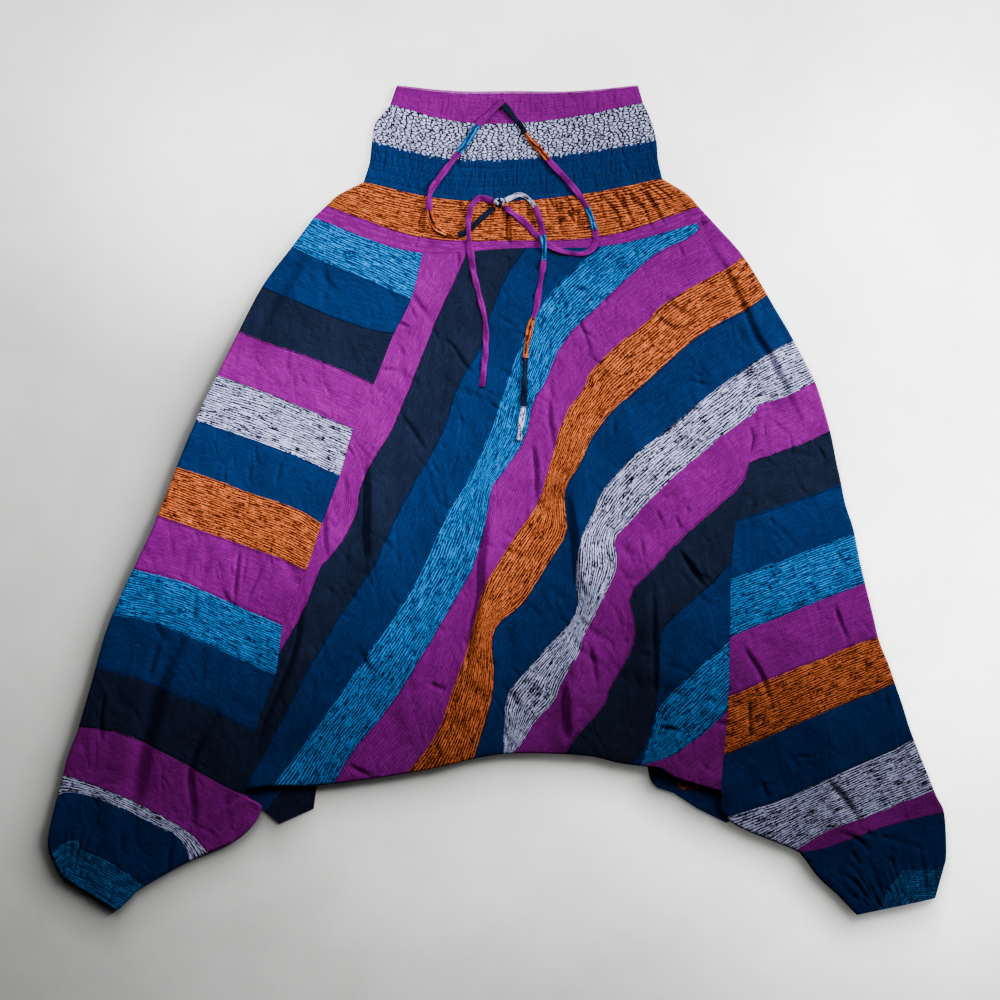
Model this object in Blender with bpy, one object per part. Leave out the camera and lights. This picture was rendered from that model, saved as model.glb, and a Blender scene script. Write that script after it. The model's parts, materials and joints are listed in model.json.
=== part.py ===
"""Harem trousers with a smocked waist and a tied drawstring, laid flat, front up.

Every piece of cloth is a closed wall: a sheet, or a tube pressed flat. Its back lies
on the surface at z = 0 and its front lies on its back. X runs across the trousers, Y
up towards the waist, and the origin is under the middle of the cloth. Tables and sizes
are in millimetres, and the meshes are in metres.
"""
import math
from collections import namedtuple

import bmesh
import bpy
import numpy as np

MM = 0.001

# Cloth
WALL = 1.5              # thickness of one layer
SEAM = 0.3              # how far each piece stands back from a seam line
LIFT = 6.0              # height of the front layer's face over the surface
FOLD_DEPTH = 3.0        # how far in from a side fold its round reaches
CROTCH_DEPTH = 3.6      # the same at the fold between the legs
CROTCH_TUCK = 36.0      # degrees that fold goes on under itself
INSEAM_ANGLE = 6.0      # degrees each end of a leg stops short of meeting the other
STEEPEST = 0.65         # sine of the sharpest slant a row may have to its edge

# Gathers, raised on the outside of the front
SMOCK_WAVES = 40        # waves across the smocked band
SMOCK_HEIGHT = 1.4
GATHER_WAVES = 26       # gathers across the top of the hip band
GATHER_HEIGHT = 2.4
CASING_WAVES = 18
CASING_HEIGHT = 0.7
CUFF_WAVES = 8
CUFF_HEIGHT = 1.0

# Drawstring
TIE_RADIUS = 2.5
TIE_CLEAR = 0.5         # gap under the string
TIE_STEP = 16.0         # distance between the points of its tube
TIE_SIDES = 2           # bevel resolution
KNOT_RADII = (7.2, 6.0, 4.4)
KNOT_REACH = 8.4        # where the four strings stop, from the middle of the knot
CROSS_CLEAR = 1.6       # gap between strings at the top of a hump
CROSS_WIDTH = 16.0      # half length of the hump where one string passes over another

# One row for each line across the waist: its two ends, and its height along Y at its
# ends and at each quarter between them
WaistRow = namedtuple("WaistRow", "x_left x_right y_0 y_1 y_2 y_3 y_4")
CASING_ROWS = [
    WaistRow(-121, 169, 498, 491, 491, 491, 498),
    WaistRow(-125, 172, 487, 473, 471, 476, 487),
    WaistRow(-129, 175, 475, 455, 452, 461, 477),
]
BAND_ROWS = [
    WaistRow(-129, 175, 475, 455, 452, 461, 477),
    WaistRow(-147, 185, 452, 433, 431, 440, 455),
    WaistRow(-151, 191, 431, 411, 409, 418, 432),
    WaistRow(-154, 193, 405, 386, 384, 393, 408),
    WaistRow(-161, 198, 382, 362, 359, 368, 386),
]
HIP_ROWS = [
    WaistRow(-161, 198, 382, 362, 359, 368, 386),
    WaistRow(-190, 227, 367, 340, 337, 344, 368),
    WaistRow(-206, 242, 353, 316, 311, 317, 352),
    WaistRow(-221, 256, 339, 298, 302, 306, 337),
]

# Where the two long front seams start on the hip line, as a share of its width
LEFT_SEAM_SHARE = 0.275
RIGHT_SEAM_SHARE = 0.965

# One row for each line across a leg: its outer side fold and its inner end, which is
# the seam to the body and, below the crotch, the inseam
LegRow = namedtuple("LegRow", "edge_x edge_y inner_x inner_y")
LEFT_LEG = [
    LegRow(-221, 339, -90, 297),
    LegRow(-247, 304, -104, 240),
    LegRow(-283, 256, -125, 198),
    LegRow(-311, 202, -149, 138),
    LegRow(-339, 146, -173, 85),
    LegRow(-363, 95, -189, 30),
    LegRow(-387, 35, -209, -24),
    LegRow(-410, -22, -230, -85),
    LegRow(-437, -83, -257, -149),
    LegRow(-463, -138, -266, -208),
    LegRow(-482, -199, -290, -276),
    LegRow(-501, -266, -303, -348),
    LegRow(-513, -298, -283, -370),
    LegRow(-521, -326, -309, -406),
    LegRow(-527, -350, -369, -433),
    LegRow(-540, -408, -427, -466),
    LegRow(-532, -436, -439, -477),
]
RIGHT_LEG = [
    LegRow(256, 337, 240, 332),
    LegRow(296, 292, 269, 271),
    LegRow(325, 245, 292, 224),
    LegRow(356, 191, 309, 166),
    LegRow(381, 142, 311, 112),
    LegRow(400, 80, 302, 47),
    LegRow(413, 18, 286, -26),
    LegRow(429, -42, 280, -96),
    LegRow(441, -96, 279, -160),
    LegRow(457, -163, 277, -238),
    LegRow(478, -221, 272, -306),
    LegRow(495, -274, 269, -350),
    LegRow(506, -302, 279, -386),
    LegRow(526, -352, 353, -419),
    LegRow(537, -378, 366, -428),
    LegRow(539, -426, 385, -453),
    LegRow(536, -442, 409, -475),
]
CROTCH_ROW = 11         # the leg row where the body panels end
LEFT_CUFF = [LegRow(-532, -436, -439, -477), LegRow(-524, -450, -456, -493)]
RIGHT_CUFF = [LegRow(536, -442, 409, -475), LegRow(526, -478, 431, -498)]

# The lower edges of the body panels, from the left leg to the right
PlanPoint = namedtuple("PlanPoint", "x y")
FRONT_HEM = [
    PlanPoint(-303, -348), PlanPoint(-273, -344), PlanPoint(-220, -343),
    PlanPoint(-160, -336), PlanPoint(-85, -324), PlanPoint(-15, -308),
    PlanPoint(27, -304), PlanPoint(75, -305), PlanPoint(113, -308),
    PlanPoint(147, -316), PlanPoint(177, -320), PlanPoint(196, -323),
    PlanPoint(215, -334), PlanPoint(243, -343), PlanPoint(269, -350),
]
BACK_HEM = [
    PlanPoint(-262, -389), PlanPoint(-221, -371),
    PlanPoint(-217, -338), PlanPoint(-160, -329), PlanPoint(-85, -317),
    PlanPoint(-15, -301), PlanPoint(60, -298), PlanPoint(140, -309),
    PlanPoint(188, -318), PlanPoint(192, -346), PlanPoint(211, -352),
    PlanPoint(240, -371), PlanPoint(275, -388),
]
BACK_CORNER_ROWS = 2    # how many leg rows below the crotch the back body panel reaches

# The largest folds: a ridge from one point to the other, its rise and its half width
Fold = namedtuple("Fold", "x_from y_from x_to y_to rise width")
FOLDS = [
    Fold(-231, 294, -291, 198, 2.2, 18),
    Fold(-152, 60, -151, -72, 3.4, 17),
    Fold(-199, -48, -250, -190, 3.4, 18),
    Fold(-9, -2, -38, -206, 3.8, 18),
    Fold(84, 70, 104, -110, 4.4, 19),
    Fold(171, -70, 176, -200, 4.6, 20),
    Fold(86, -190, 81, -290, 5.2, 18),
    Fold(-40, -250, -75, -310, 4.0, 20),
    Fold(212, -150, 214, -300, 3.6, 20),
    Fold(130, 140, 180, 40, 2.6, 22),
    Fold(283, 260, 345, 130, 2.6, 18),
    Fold(330, -40, 350, -170, 2.0, 22),
    Fold(363, -228, 430, -400, 2.6, 24),
    Fold(-400, -120, -470, -400, 2.8, 22),
    Fold(-275, 54, -300, -40, 2.2, 18),
    Fold(-330, -230, -350, -370, 2.4, 20),
    Fold(20, 240, 40, 120, 2.0, 26),
    Fold(-306, -345, -110, -322, 3.0, 20),
    Fold(-60, -305, 60, -296, 3.0, 20),
    Fold(110, -302, 272, -344, 3.2, 20),
]

# The drawstring's four stretches: from the eyelet to the knot, and from the knot to
# the free ends
EYELET = PlanPoint(7, 479)
KNOT = PlanPoint(2, 356)
LEFT_LOOP = [
    PlanPoint(2, 476), PlanPoint(-9, 466), PlanPoint(-23, 450), PlanPoint(-35, 432),
    PlanPoint(-47, 416), PlanPoint(-59, 400), PlanPoint(-71, 384), PlanPoint(-80, 370),
    PlanPoint(-82, 354), PlanPoint(-80, 338), PlanPoint(-73, 326), PlanPoint(-60, 319),
    PlanPoint(-46, 318), PlanPoint(-33, 325), PlanPoint(-21, 336), PlanPoint(-9, 348),
]
RIGHT_LOOP = [
    PlanPoint(11, 476), PlanPoint(17, 466), PlanPoint(27, 450), PlanPoint(39, 432),
    PlanPoint(52, 418), PlanPoint(65, 403), PlanPoint(81, 386), PlanPoint(97, 367),
    PlanPoint(109, 347), PlanPoint(116, 326), PlanPoint(118, 310), PlanPoint(111, 299),
    PlanPoint(97, 295), PlanPoint(79, 298), PlanPoint(63, 305), PlanPoint(47, 317),
    PlanPoint(33, 332), PlanPoint(17, 347),
]
LEFT_END = [
    PlanPoint(-7, 361), PlanPoint(-21, 362), PlanPoint(-30, 354), PlanPoint(-34, 341),
    PlanPoint(-35, 324), PlanPoint(-33, 302), PlanPoint(-28, 270), PlanPoint(-21, 242),
    PlanPoint(-15, 216), PlanPoint(-14, 186), PlanPoint(-16, 162), PlanPoint(-19, 136),
]
RIGHT_END = [
    PlanPoint(11, 362), PlanPoint(26, 366), PlanPoint(38, 360), PlanPoint(47, 347),
    PlanPoint(52, 331), PlanPoint(55, 312), PlanPoint(56, 293), PlanPoint(53, 270),
    PlanPoint(49, 246), PlanPoint(46, 228), PlanPoint(40, 211), PlanPoint(37, 196),
    PlanPoint(34, 178), PlanPoint(33, 154), PlanPoint(32, 130), PlanPoint(31, 110),
    PlanPoint(28, 90), PlanPoint(26, 72),
]
LEFT_CROSSING = PlanPoint(-35, 323)
RIGHT_CROSSING = PlanPoint(54, 311)

# How each piece is drawn: colour, roughness
Finish = namedtuple("Finish", "colour roughness")
MAGENTA = Finish((0.34, 0.02, 0.33), 0.85)
NAVY = Finish((0.01, 0.02, 0.06), 0.85)
BLUE = Finish((0.01, 0.06, 0.20), 0.85)
TURQUOISE = Finish((0.03, 0.30, 0.60), 0.85)
ORANGE = Finish((0.55, 0.17, 0.05), 0.85)
MARL = Finish((0.45, 0.45, 0.55), 0.85)

# How finely the pieces are divided
SEAM_STEPS = 15         # rows of a leg beside the body panels
LEG_STEPS = 8           # rows of a leg below them
LEG_FRONT_STEPS = 8
LEG_BACK_STEPS = 6
SEAM_SPREAD = 0.06      # spacing of the first columns beside a seam, as a share
BODY_STEPS = 19         # columns of the front body panel
TUBE_BACK_STEPS = 14
HALF_ROUND = np.radians([90, 54, 18, -18, -54, -90])
INSEAM_ROUND = np.radians([INSEAM_ANGLE, 48, 90])


def clear_scene():
    """Remove whatever the scene starts with."""
    for item in list(bpy.data.objects):
        bpy.data.objects.remove(item, do_unlink=True)


def smooth_through(points, positions):
    """Read a smooth curve through the points at positions counted in points."""
    points = np.asarray(points, float)
    first = 2 * points[0] - points[1]
    last = 2 * points[-1] - points[-2]
    padded = np.vstack([first, points, last])
    index = np.clip(np.floor(positions).astype(int), 0, len(points) - 2)
    part = (np.asarray(positions, float) - index)[:, None]
    before, start, end, after = (padded[index + step] for step in range(4))
    slope = (end - before) * part
    bend = (2 * before - 5 * start + 4 * end - after) * part**2
    twist = (3 * start - before - 3 * end + after) * part**3
    return 0.5 * (2 * start + slope + bend + twist)


def evenly_along(points, shares):
    """Read a smooth curve at shares of its length, from 0 to 1."""
    dense = smooth_through(points, np.linspace(0, len(points) - 1, 20 * len(points)))
    steps = np.linalg.norm(np.diff(dense, axis=0), axis=1)
    length = np.concatenate([[0], np.cumsum(steps)])
    wanted = np.asarray(shares) * length[-1]
    return np.stack([np.interp(wanted, length, dense[:, i]) for i in range(2)], axis=1)


def fold_rise(x, y):
    """Sum what the large folds add to the front layer's height."""
    total = np.zeros(np.shape(x))
    for fold in FOLDS:
        run = np.array([fold.x_to - fold.x_from, fold.y_to - fold.y_from], float)
        length = np.hypot(*run)
        along = ((x - fold.x_from) * run[0] + (y - fold.y_from) * run[1]) / length
        away = ((x - fold.x_from) * run[1] - (y - fold.y_from) * run[0]) / length
        beyond = along - np.clip(along, 0, length)
        total += fold.rise * np.exp(-(away**2 + beyond**2) / fold.width**2)
    return total


def front_height(x, y):
    """Give the height of the front layer's face over a point of the surface."""
    return LIFT + fold_rise(x, y)


def waist_line(row, shares):
    """Read one line across the waist at shares of its width."""
    heights = np.array(row[2:], float)[:, None]
    x = row.x_left + (row.x_right - row.x_left) * shares
    return np.stack([x, smooth_through(heights, shares * 4)[:, 0]], axis=1)


def square_off(normal, seam_run):
    """Keep a wall's end square to its seam, which runs along seam_run in the plan."""
    level = seam_run * [1, 1, 0]
    level /= np.maximum(np.linalg.norm(level, axis=-1, keepdims=True), 1e-9)
    kept = (normal * level).sum(axis=-1, keepdims=True) * level
    normal[..., :2] = kept[..., :2]
    normal /= np.linalg.norm(normal, axis=-1, keepdims=True)


def outward_normals(grid, closed, square_rows=(0, -1)):
    """Work out a grid's unit normals, which point up on the front layer."""
    if closed:
        wrapped = np.concatenate([grid[:, -1:], grid, grid[:, :1]], axis=1)
        across = np.gradient(wrapped, axis=1)[:, 1:-1]
    else:
        across = np.gradient(grid, axis=1)
    down = np.gradient(grid, axis=0)
    normal = np.cross(across, down)
    normal /= np.linalg.norm(normal, axis=2, keepdims=True)
    for row in square_rows:
        square_off(normal[row], across[row])
    if not closed:
        for side in (0, -1):
            square_off(normal[:, side], down[:, side])
    front = grid.shape[1] // 6
    return normal * np.sign(normal[0, front, 2])


def cloth(name, outer, inner, closed, finish):
    """Make one closed wall from the grids of its two faces."""
    rows, columns = outer.shape[:2]
    count = rows * columns
    points = np.vstack([outer.reshape(-1, 3), inner.reshape(-1, 3)]) * MM
    index = np.arange(count).reshape(rows, columns)
    if closed:
        index = np.hstack([index, index[:, :1]])
    a, b = index[:-1, :-1].ravel(), index[:-1, 1:].ravel()
    c, d = index[1:, 1:].ravel(), index[1:, :-1].ravel()
    split = np.concatenate([np.stack([a, b, c], axis=1), np.stack([a, c, d], axis=1)])
    faces = [split, split[:, ::-1] + count]
    rims = [index[0], index[-1][::-1]]
    if not closed:
        rims += [index[:, -1], index[:, 0][::-1]]
    for rim in rims:
        start, end = rim[:-1], rim[1:]
        faces.append(np.stack([start, start + count, end + count], axis=1))
        faces.append(np.stack([start, end + count, end], axis=1))
    mesh = bpy.data.meshes.new(name)
    mesh.from_pydata(points.tolist(), [], np.vstack(faces).tolist())
    return finish_piece(name, mesh, finish)


def finish_piece(name, mesh, finish):
    """Turn a mesh's faces out and put it in the scene in its own material."""
    work = bmesh.new()
    work.from_mesh(mesh)
    bmesh.ops.recalc_face_normals(work, faces=work.faces)
    work.to_mesh(mesh)
    work.free()
    mesh.shade_smooth()
    mesh.set_sharp_from_angle(angle=math.radians(50))
    piece = bpy.data.objects.new(name, mesh)
    bpy.context.scene.collection.objects.link(piece)
    mesh.materials.append(make_material(name, finish))
    return piece


def make_material(name, finish):
    """Make a piece's own plain cloth material."""
    material = bpy.data.materials.new(name + "_cloth")
    material.use_nodes = True
    shader = material.node_tree.nodes["Principled BSDF"]
    shader.inputs["Base Color"].default_value = (*finish.colour, 1)
    shader.inputs["Roughness"].default_value = finish.roughness
    shader.inputs["Metallic"].default_value = 0
    return material


def fold_shares(ends, others):
    """Give each row's fold depth as a share of the row, measured square to its edge."""
    run = np.gradient(ends, axis=0)
    run /= np.linalg.norm(run, axis=1, keepdims=True)
    across = others - ends
    turned = np.abs(run[:, 0] * across[:, 1] - run[:, 1] * across[:, 0])
    width = np.linalg.norm(across, axis=1)
    return FOLD_DEPTH / np.maximum(turned, width * STEEPEST)


def flat_tube(name, lines, front_steps, wave, finish):
    """Make a tube pressed flat, open at both ends.

    Each of lines gives the points of one ring's plan at shares of its width, and wave
    gives how far the outside of the front stands out, for each row and column.
    """
    starts, ends = (np.vstack([line(np.array([share])) for line in lines])
                    for share in (0.0, 1.0))
    rings = []
    round_in = 1 - np.cos(HALF_ROUND[1:-1])
    for line, first, last in zip(lines, fold_shares(starts, ends), fold_shares(ends, starts)):
        front = np.linspace(first, 1 - last, front_steps + 1)
        back = np.linspace(1 - last, first, TUBE_BACK_STEPS + 1)
        shares = np.concatenate([front, 1 - last * round_in, back, first * round_in[::-1]])
        level = np.concatenate([
            np.ones(len(front)), np.sin(HALF_ROUND[1:-1]),
            -np.ones(len(back)), np.sin(HALF_ROUND[1:-1])[::-1],
        ])
        plan = line(shares)
        height = front_height(plan[:, 0], plan[:, 1]) * (1 + level) / 2
        rings.append(np.column_stack([plan, height]))
    base = np.array(rings)
    normals = outward_normals(base, closed=True)
    outer = base.copy()
    outer[:, :front_steps + 1, 2] += wave
    return cloth(name, outer, base - WALL * normals, True, finish)


def gather_wave(rows, steps, waves, height, fade):
    """Give the outer height of gathers that fade from the first row to the last."""
    turn = np.linspace(0, 1, steps + 1)
    strength = 0.75 + 0.25 * np.sin(turn * waves * 1.7)
    crest = (0.5 - 0.5 * np.cos(turn * waves * 2 * math.pi)) * strength
    return np.linspace(height, height * fade, rows)[:, None] * crest


def waist_lines(rows, first_gap, last_gap):
    """Turn rows of the waist into plan lines, standing back from its seams."""
    shift = np.zeros(len(rows))
    shift[0] = -first_gap
    shift[-1] = last_gap
    return [
        lambda shares, row=row, lift=lift: waist_line(row, shares) + [0, lift]
        for row, lift in zip(rows, shift)
    ]


def row_positions():
    """Place a leg's rows, counted in the rows of its table."""
    beside = np.linspace(0, CROTCH_ROW, SEAM_STEPS + 1)
    below = np.linspace(CROTCH_ROW, len(LEFT_LEG) - 1, LEG_STEPS + 1)[1:]
    return np.concatenate([beside, below])


def leg_rows(table, seam_share, edge_share):
    """Give each row of a leg as its inner end, its outer edge and its closing.

    Closing runs from 0, where the row ends at the body panels, to 1, where the leg is
    a tube. The fourth value bends the first rows to follow the hip line.
    """
    hip = waist_line(HIP_ROWS[-1], np.array([seam_share, edge_share]))
    table = [LegRow(hip[1, 0], hip[1, 1], hip[0, 0], hip[0, 1]), *table[1:]]
    positions = row_positions()
    values = smooth_through(np.array(table, float), positions)
    closing = np.clip((positions - CROTCH_ROW) / 0.9, 0, 1)
    bend = np.clip(1 - positions / 2, 0, 1)
    return values[:, 2:4], values[:, :2], closing, bend


def upward(run):
    """Turn a direction in the plan square to itself, towards the waist."""
    return np.array([-run[1], run[0]]) * (1 if run[0] > 0 else -1)


def leg_panel(name, table, seam_share, edge_share, finish):
    """Make a leg panel: from the front seam round the side fold to the back seam."""
    inner_ends, edges, closing, bend = leg_rows(table, seam_share, edge_share)
    inseam_shares = fold_shares(inner_ends, edges)
    edge_shares = fold_shares(edges, inner_ends)
    rings = []
    for row, (inner, edge, close) in enumerate(zip(inner_ends, edges, closing)):
        along_row = (edge - inner) / np.linalg.norm(edge - inner)
        spread = SEAM_SPREAD * np.arange(len(INSEAM_ROUND))
        tucked = inseam_shares[row] * (1 - np.cos(INSEAM_ROUND))
        start = spread * (1 - close) + tucked * close
        start_level = 1 - close * (1 - np.sin(INSEAM_ROUND))
        fold = 1 - edge_shares[row] * (1 - np.cos(HALF_ROUND))
        front = np.linspace(start[-1], fold[0], LEG_FRONT_STEPS + 1)[1:-1]
        back = np.linspace(fold[-1], start[-1], LEG_BACK_STEPS + 1)[1:-1]
        shares = np.concatenate([start, front, fold, back, start[::-1]])
        level = np.concatenate([
            start_level, np.ones(len(front)), np.sin(HALF_ROUND),
            -np.ones(len(back)), -start_level[::-1],
        ])
        plan = inner + (edge - inner) * shares[:, None]
        hip = waist_line(HIP_ROWS[-1], seam_share + (edge_share - seam_share) * shares)
        straight = inner_ends[0] + (edges[0] - inner_ends[0]) * shares[:, None]
        plan = plan + bend[row] * (hip - straight)
        plan = plan + along_row * SEAM * (1 - shares)[:, None]
        if row == 0:
            plan[:, 1] -= SEAM
        if row == len(inner_ends) - 1:
            plan = plan + upward(along_row) * SEAM
        height = front_height(plan[:, 0], plan[:, 1]) * (1 + level) / 2
        rings.append(np.column_stack([plan, height]))
    outer = np.array(rings)
    normals = outward_normals(outer, closed=False)
    out = (inner_ends - edges) * closing[:, None]
    out /= np.linalg.norm(inner_ends - edges, axis=1, keepdims=True)
    for side, up in ((0, 1), (-1, -1)):
        facing = np.column_stack([out, up * (1 - closing)])
        normals[:, side] = facing / np.linalg.norm(facing, axis=1, keepdims=True)
    return cloth(name, outer, outer - WALL * normals, False, finish)


def body_grid(hem, shares, rows, left, right):
    """Fill the plan between the hip line, the two seams and a lower edge."""
    top_share = LEFT_SEAM_SHARE + (RIGHT_SEAM_SHARE - LEFT_SEAM_SHARE) * shares
    top = waist_line(HIP_ROWS[-1], top_share)
    down = rows[:, :, None]
    across = shares[None, :, None]
    between_ends = (1 - down) * top[None] + down * hem[None]
    between_sides = (1 - across) * left[:, None] + across * right[:, None]
    corners = ((1 - down) * ((1 - across) * top[0] + across * top[-1])
               + down * ((1 - across) * hem[0] + across * hem[-1]))
    grid = between_ends + between_sides - corners
    grid[:, :, 0] += SEAM * (1 - 2 * across[:, :, 0])
    grid[0, :, 1] -= SEAM
    return grid


def seam_ends(table, share, edge_share, positions):
    """Read a body panel's side seam between the leg's own rows."""
    ends = leg_rows(table, share, edge_share)[0]
    return np.stack([np.interp(positions, row_positions(), ends[:, i]) for i in range(2)],
                    axis=1)


def body_front():
    """Make the wide front panel, which rolls under at the crotch."""
    shares = np.linspace(0, 1, BODY_STEPS + 1)
    hem = evenly_along(FRONT_HEM, shares)
    roll = np.radians([90, 60, 30, 0, -CROTCH_TUCK])
    length = waist_line(HIP_ROWS[-1], np.array([0.5]))[0, 1] - hem[:, 1].mean()
    rolled = 1 - CROTCH_DEPTH / length * (1 - np.cos(roll))
    flat = np.linspace(0, 1, SEAM_STEPS + 1)[:-1]
    rows = np.concatenate([flat, rolled])
    level = np.concatenate([np.ones(len(flat)), np.sin(roll)])
    left = seam_ends(LEFT_LEG, LEFT_SEAM_SHARE, 0.0, rows * CROTCH_ROW)
    right = seam_ends(RIGHT_LEG, RIGHT_SEAM_SHARE, 1.0, rows * CROTCH_ROW)
    rows = np.repeat(rows[:, None], len(shares), axis=1)
    plan = body_grid(hem, shares, rows, left, right)
    height = front_height(plan[:, :, 0], plan[:, :, 1])
    tuck = math.sin(math.radians(CROTCH_TUCK))
    middle = (WALL + SEAM + height * tuck) / (1 + tuck)
    rolled_height = middle + (height - middle) * level[:, None]
    height = np.where(level[:, None] < 1, rolled_height, height)
    outer = np.dstack([plan, height])
    normals = outward_normals(outer, closed=False, square_rows=(0,))
    return cloth("body_front", outer, outer - WALL * normals, False, BLUE)


def body_back():
    """Make the back panel, flat on the surface, with its two corners below the crotch."""
    positions = row_positions()[:SEAM_STEPS + 1 + BACK_CORNER_ROWS]
    inset = np.array([SEAM, 0])
    left = seam_ends(LEFT_LEG, LEFT_SEAM_SHARE, 0.0, positions) + inset
    right = seam_ends(RIGHT_LEG, RIGHT_SEAM_SHARE, 1.0, positions) - inset
    shares = np.linspace(LEFT_SEAM_SHARE, RIGHT_SEAM_SHARE, BODY_STEPS + 1)
    top = waist_line(HIP_ROWS[-1], shares)[1:-1]
    hem = np.array(BACK_HEM, float)
    outline = np.vstack([left, hem, right[::-1], top[::-1]])
    outline[0, 1] -= SEAM
    outline[len(left) + len(hem) + len(right) - 1:, 1] -= SEAM
    work = bmesh.new()
    base = [work.verts.new((x * MM, y * MM, 0)) for x, y in outline]
    face = work.faces.new(base)
    raised = bmesh.ops.extrude_face_region(work, geom=[face])["geom"]
    for item in raised:
        if isinstance(item, bmesh.types.BMVert):
            item.co.z = WALL * MM
    mesh = bpy.data.meshes.new("body_back")
    work.to_mesh(mesh)
    work.free()
    return finish_piece("body_back", mesh, NAVY)


def cuff(name, rows, finish):
    """Make the gathered hem of a leg."""
    start, end = rows
    run = np.array([start.edge_x - start.inner_x, start.edge_y - start.inner_y], float)
    step = -upward(run / np.linalg.norm(run)) * SEAM

    def line(row, shift):
        inner = np.array([row.inner_x, row.inner_y], float)
        edge = np.array([row.edge_x, row.edge_y], float)
        return lambda shares: inner + (edge - inner) * shares[:, None] + shift

    middle = LegRow(*((np.array(start) + np.array(end)) / 2))
    lines = [line(start, step), line(middle, 0 * step), line(end, 0 * step)]
    steps = 2 * CUFF_WAVES
    wave = gather_wave(3, steps, CUFF_WAVES, CUFF_HEIGHT, 1.0)
    return flat_tube(name, lines, steps, wave, finish)


def string_height(x, y):
    """Give the height of a string's middle where it lies on the front."""
    near_waist = 1 / (1 + np.exp(-(np.asarray(y) - 300) / 8))
    return front_height(x, y) + GATHER_HEIGHT * near_waist + TIE_CLEAR + TIE_RADIUS


def string(name, route, over, finish):
    """Make one stretch of the drawstring, humped where it passes over another."""
    route = np.array(route, float)
    length = np.linalg.norm(np.diff(route, axis=0), axis=1).sum()
    count = round(length / TIE_STEP) + 1
    plan = evenly_along(route, np.linspace(0, 1, count))
    height = string_height(plan[:, 0], plan[:, 1])
    if over:
        away = np.hypot(plan[:, 0] - over.x, plan[:, 1] - over.y)
        height += (2 * TIE_RADIUS + CROSS_CLEAR) * np.exp(-(away / CROSS_WIDTH)**4)
    curve = bpy.data.curves.new(name, "CURVE")
    curve.dimensions = "3D"
    curve.bevel_depth = TIE_RADIUS * MM
    curve.bevel_resolution = TIE_SIDES
    curve.use_fill_caps = True
    spline = curve.splines.new("POLY")
    spline.points.add(count - 1)
    points = np.column_stack([plan, height, np.full(count, 1 / MM)]) * MM
    spline.points.foreach_set("co", points.ravel())
    piece = bpy.data.objects.new(name, curve)
    bpy.context.scene.collection.objects.link(piece)
    curve.materials.append(make_material(name, finish))
    return piece


def drawstring_knot():
    """Make the knot as a rounded lump between the four strings."""
    mesh = bpy.data.meshes.new("drawstring_knot")
    work = bmesh.new()
    bmesh.ops.create_uvsphere(work, u_segments=12, v_segments=7, radius=1)
    height = float(string_height(KNOT.x, KNOT.y)) + KNOT_RADII[2] - TIE_RADIUS
    for point in work.verts:
        point.co.x = (point.co.x * KNOT_RADII[0] + KNOT.x) * MM
        point.co.y = (point.co.y * KNOT_RADII[1] + KNOT.y) * MM
        point.co.z = (point.co.z * KNOT_RADII[2] + height) * MM
    work.to_mesh(mesh)
    work.free()
    return finish_piece("drawstring_knot", mesh, NAVY)


def shorten(route, at_start):
    """Stop a route short of the knot by the knot's reach."""
    points = list(route)
    spot = 0 if at_start else -1
    beside = points[1 if at_start else -2]
    run = np.array([beside.x - KNOT.x, beside.y - KNOT.y], float)
    run /= np.linalg.norm(run)
    points[spot] = PlanPoint(KNOT.x + run[0] * KNOT_REACH, KNOT.y + run[1] * KNOT_REACH)
    return points


def build_waist():
    """Make the casing, the smocked band and the gathered hip band."""
    flat_tube("waist_casing", waist_lines(CASING_ROWS, 0, SEAM), 2 * CASING_WAVES,
              gather_wave(3, 2 * CASING_WAVES, CASING_WAVES, CASING_HEIGHT, 1.4), MAGENTA)
    flat_tube("waistband_smocked", waist_lines(BAND_ROWS, SEAM, SEAM), 2 * SMOCK_WAVES,
              gather_wave(5, 2 * SMOCK_WAVES, SMOCK_WAVES, SMOCK_HEIGHT, 1.0), MARL)
    flat_tube("hip_band", waist_lines(HIP_ROWS, SEAM, SEAM), 3 * GATHER_WAVES,
              gather_wave(4, 3 * GATHER_WAVES, GATHER_WAVES, GATHER_HEIGHT, 0.2), ORANGE)


def build_legs():
    """Make the two leg panels and their hems."""
    leg_panel("leg_panel_left", LEFT_LEG, LEFT_SEAM_SHARE, 0.0, TURQUOISE)
    leg_panel("leg_panel_right", RIGHT_LEG, RIGHT_SEAM_SHARE, 1.0, MAGENTA)
    cuff("cuff_left", LEFT_CUFF, TURQUOISE)
    cuff("cuff_right", RIGHT_CUFF, BLUE)


def build_drawstring():
    """Make the two loops, the knot and the two free ends."""
    string("tie_loop_left", shorten(LEFT_LOOP, False), None, MAGENTA)
    string("tie_loop_right", shorten(RIGHT_LOOP, False), None, MAGENTA)
    string("tie_end_left", shorten(LEFT_END, True), LEFT_CROSSING, MAGENTA)
    string("tie_end_right", shorten(RIGHT_END, True), RIGHT_CROSSING, MAGENTA)
    drawstring_knot()


def main():
    """Build the trousers."""
    clear_scene()
    build_waist()
    build_legs()
    body_front()
    body_back()
    build_drawstring()


main()
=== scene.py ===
"""Harem trousers with a smocked waist and a tied drawstring, laid flat, front up.

Every piece of cloth is a thin shell on its solid's form. X runs across the trousers, Y
up towards the waist, and the surface that they lie on is z = 0. Tables, sizes and
points are in millimetres, and the meshes are in metres. One Relief holds the height of
the front layer everywhere, so that neighbouring pieces meet at their seams.
"""
from __future__ import annotations

import json
import logging
import math
from dataclasses import dataclass, field
from enum import Enum
from typing import Any, NamedTuple, Sequence

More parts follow.
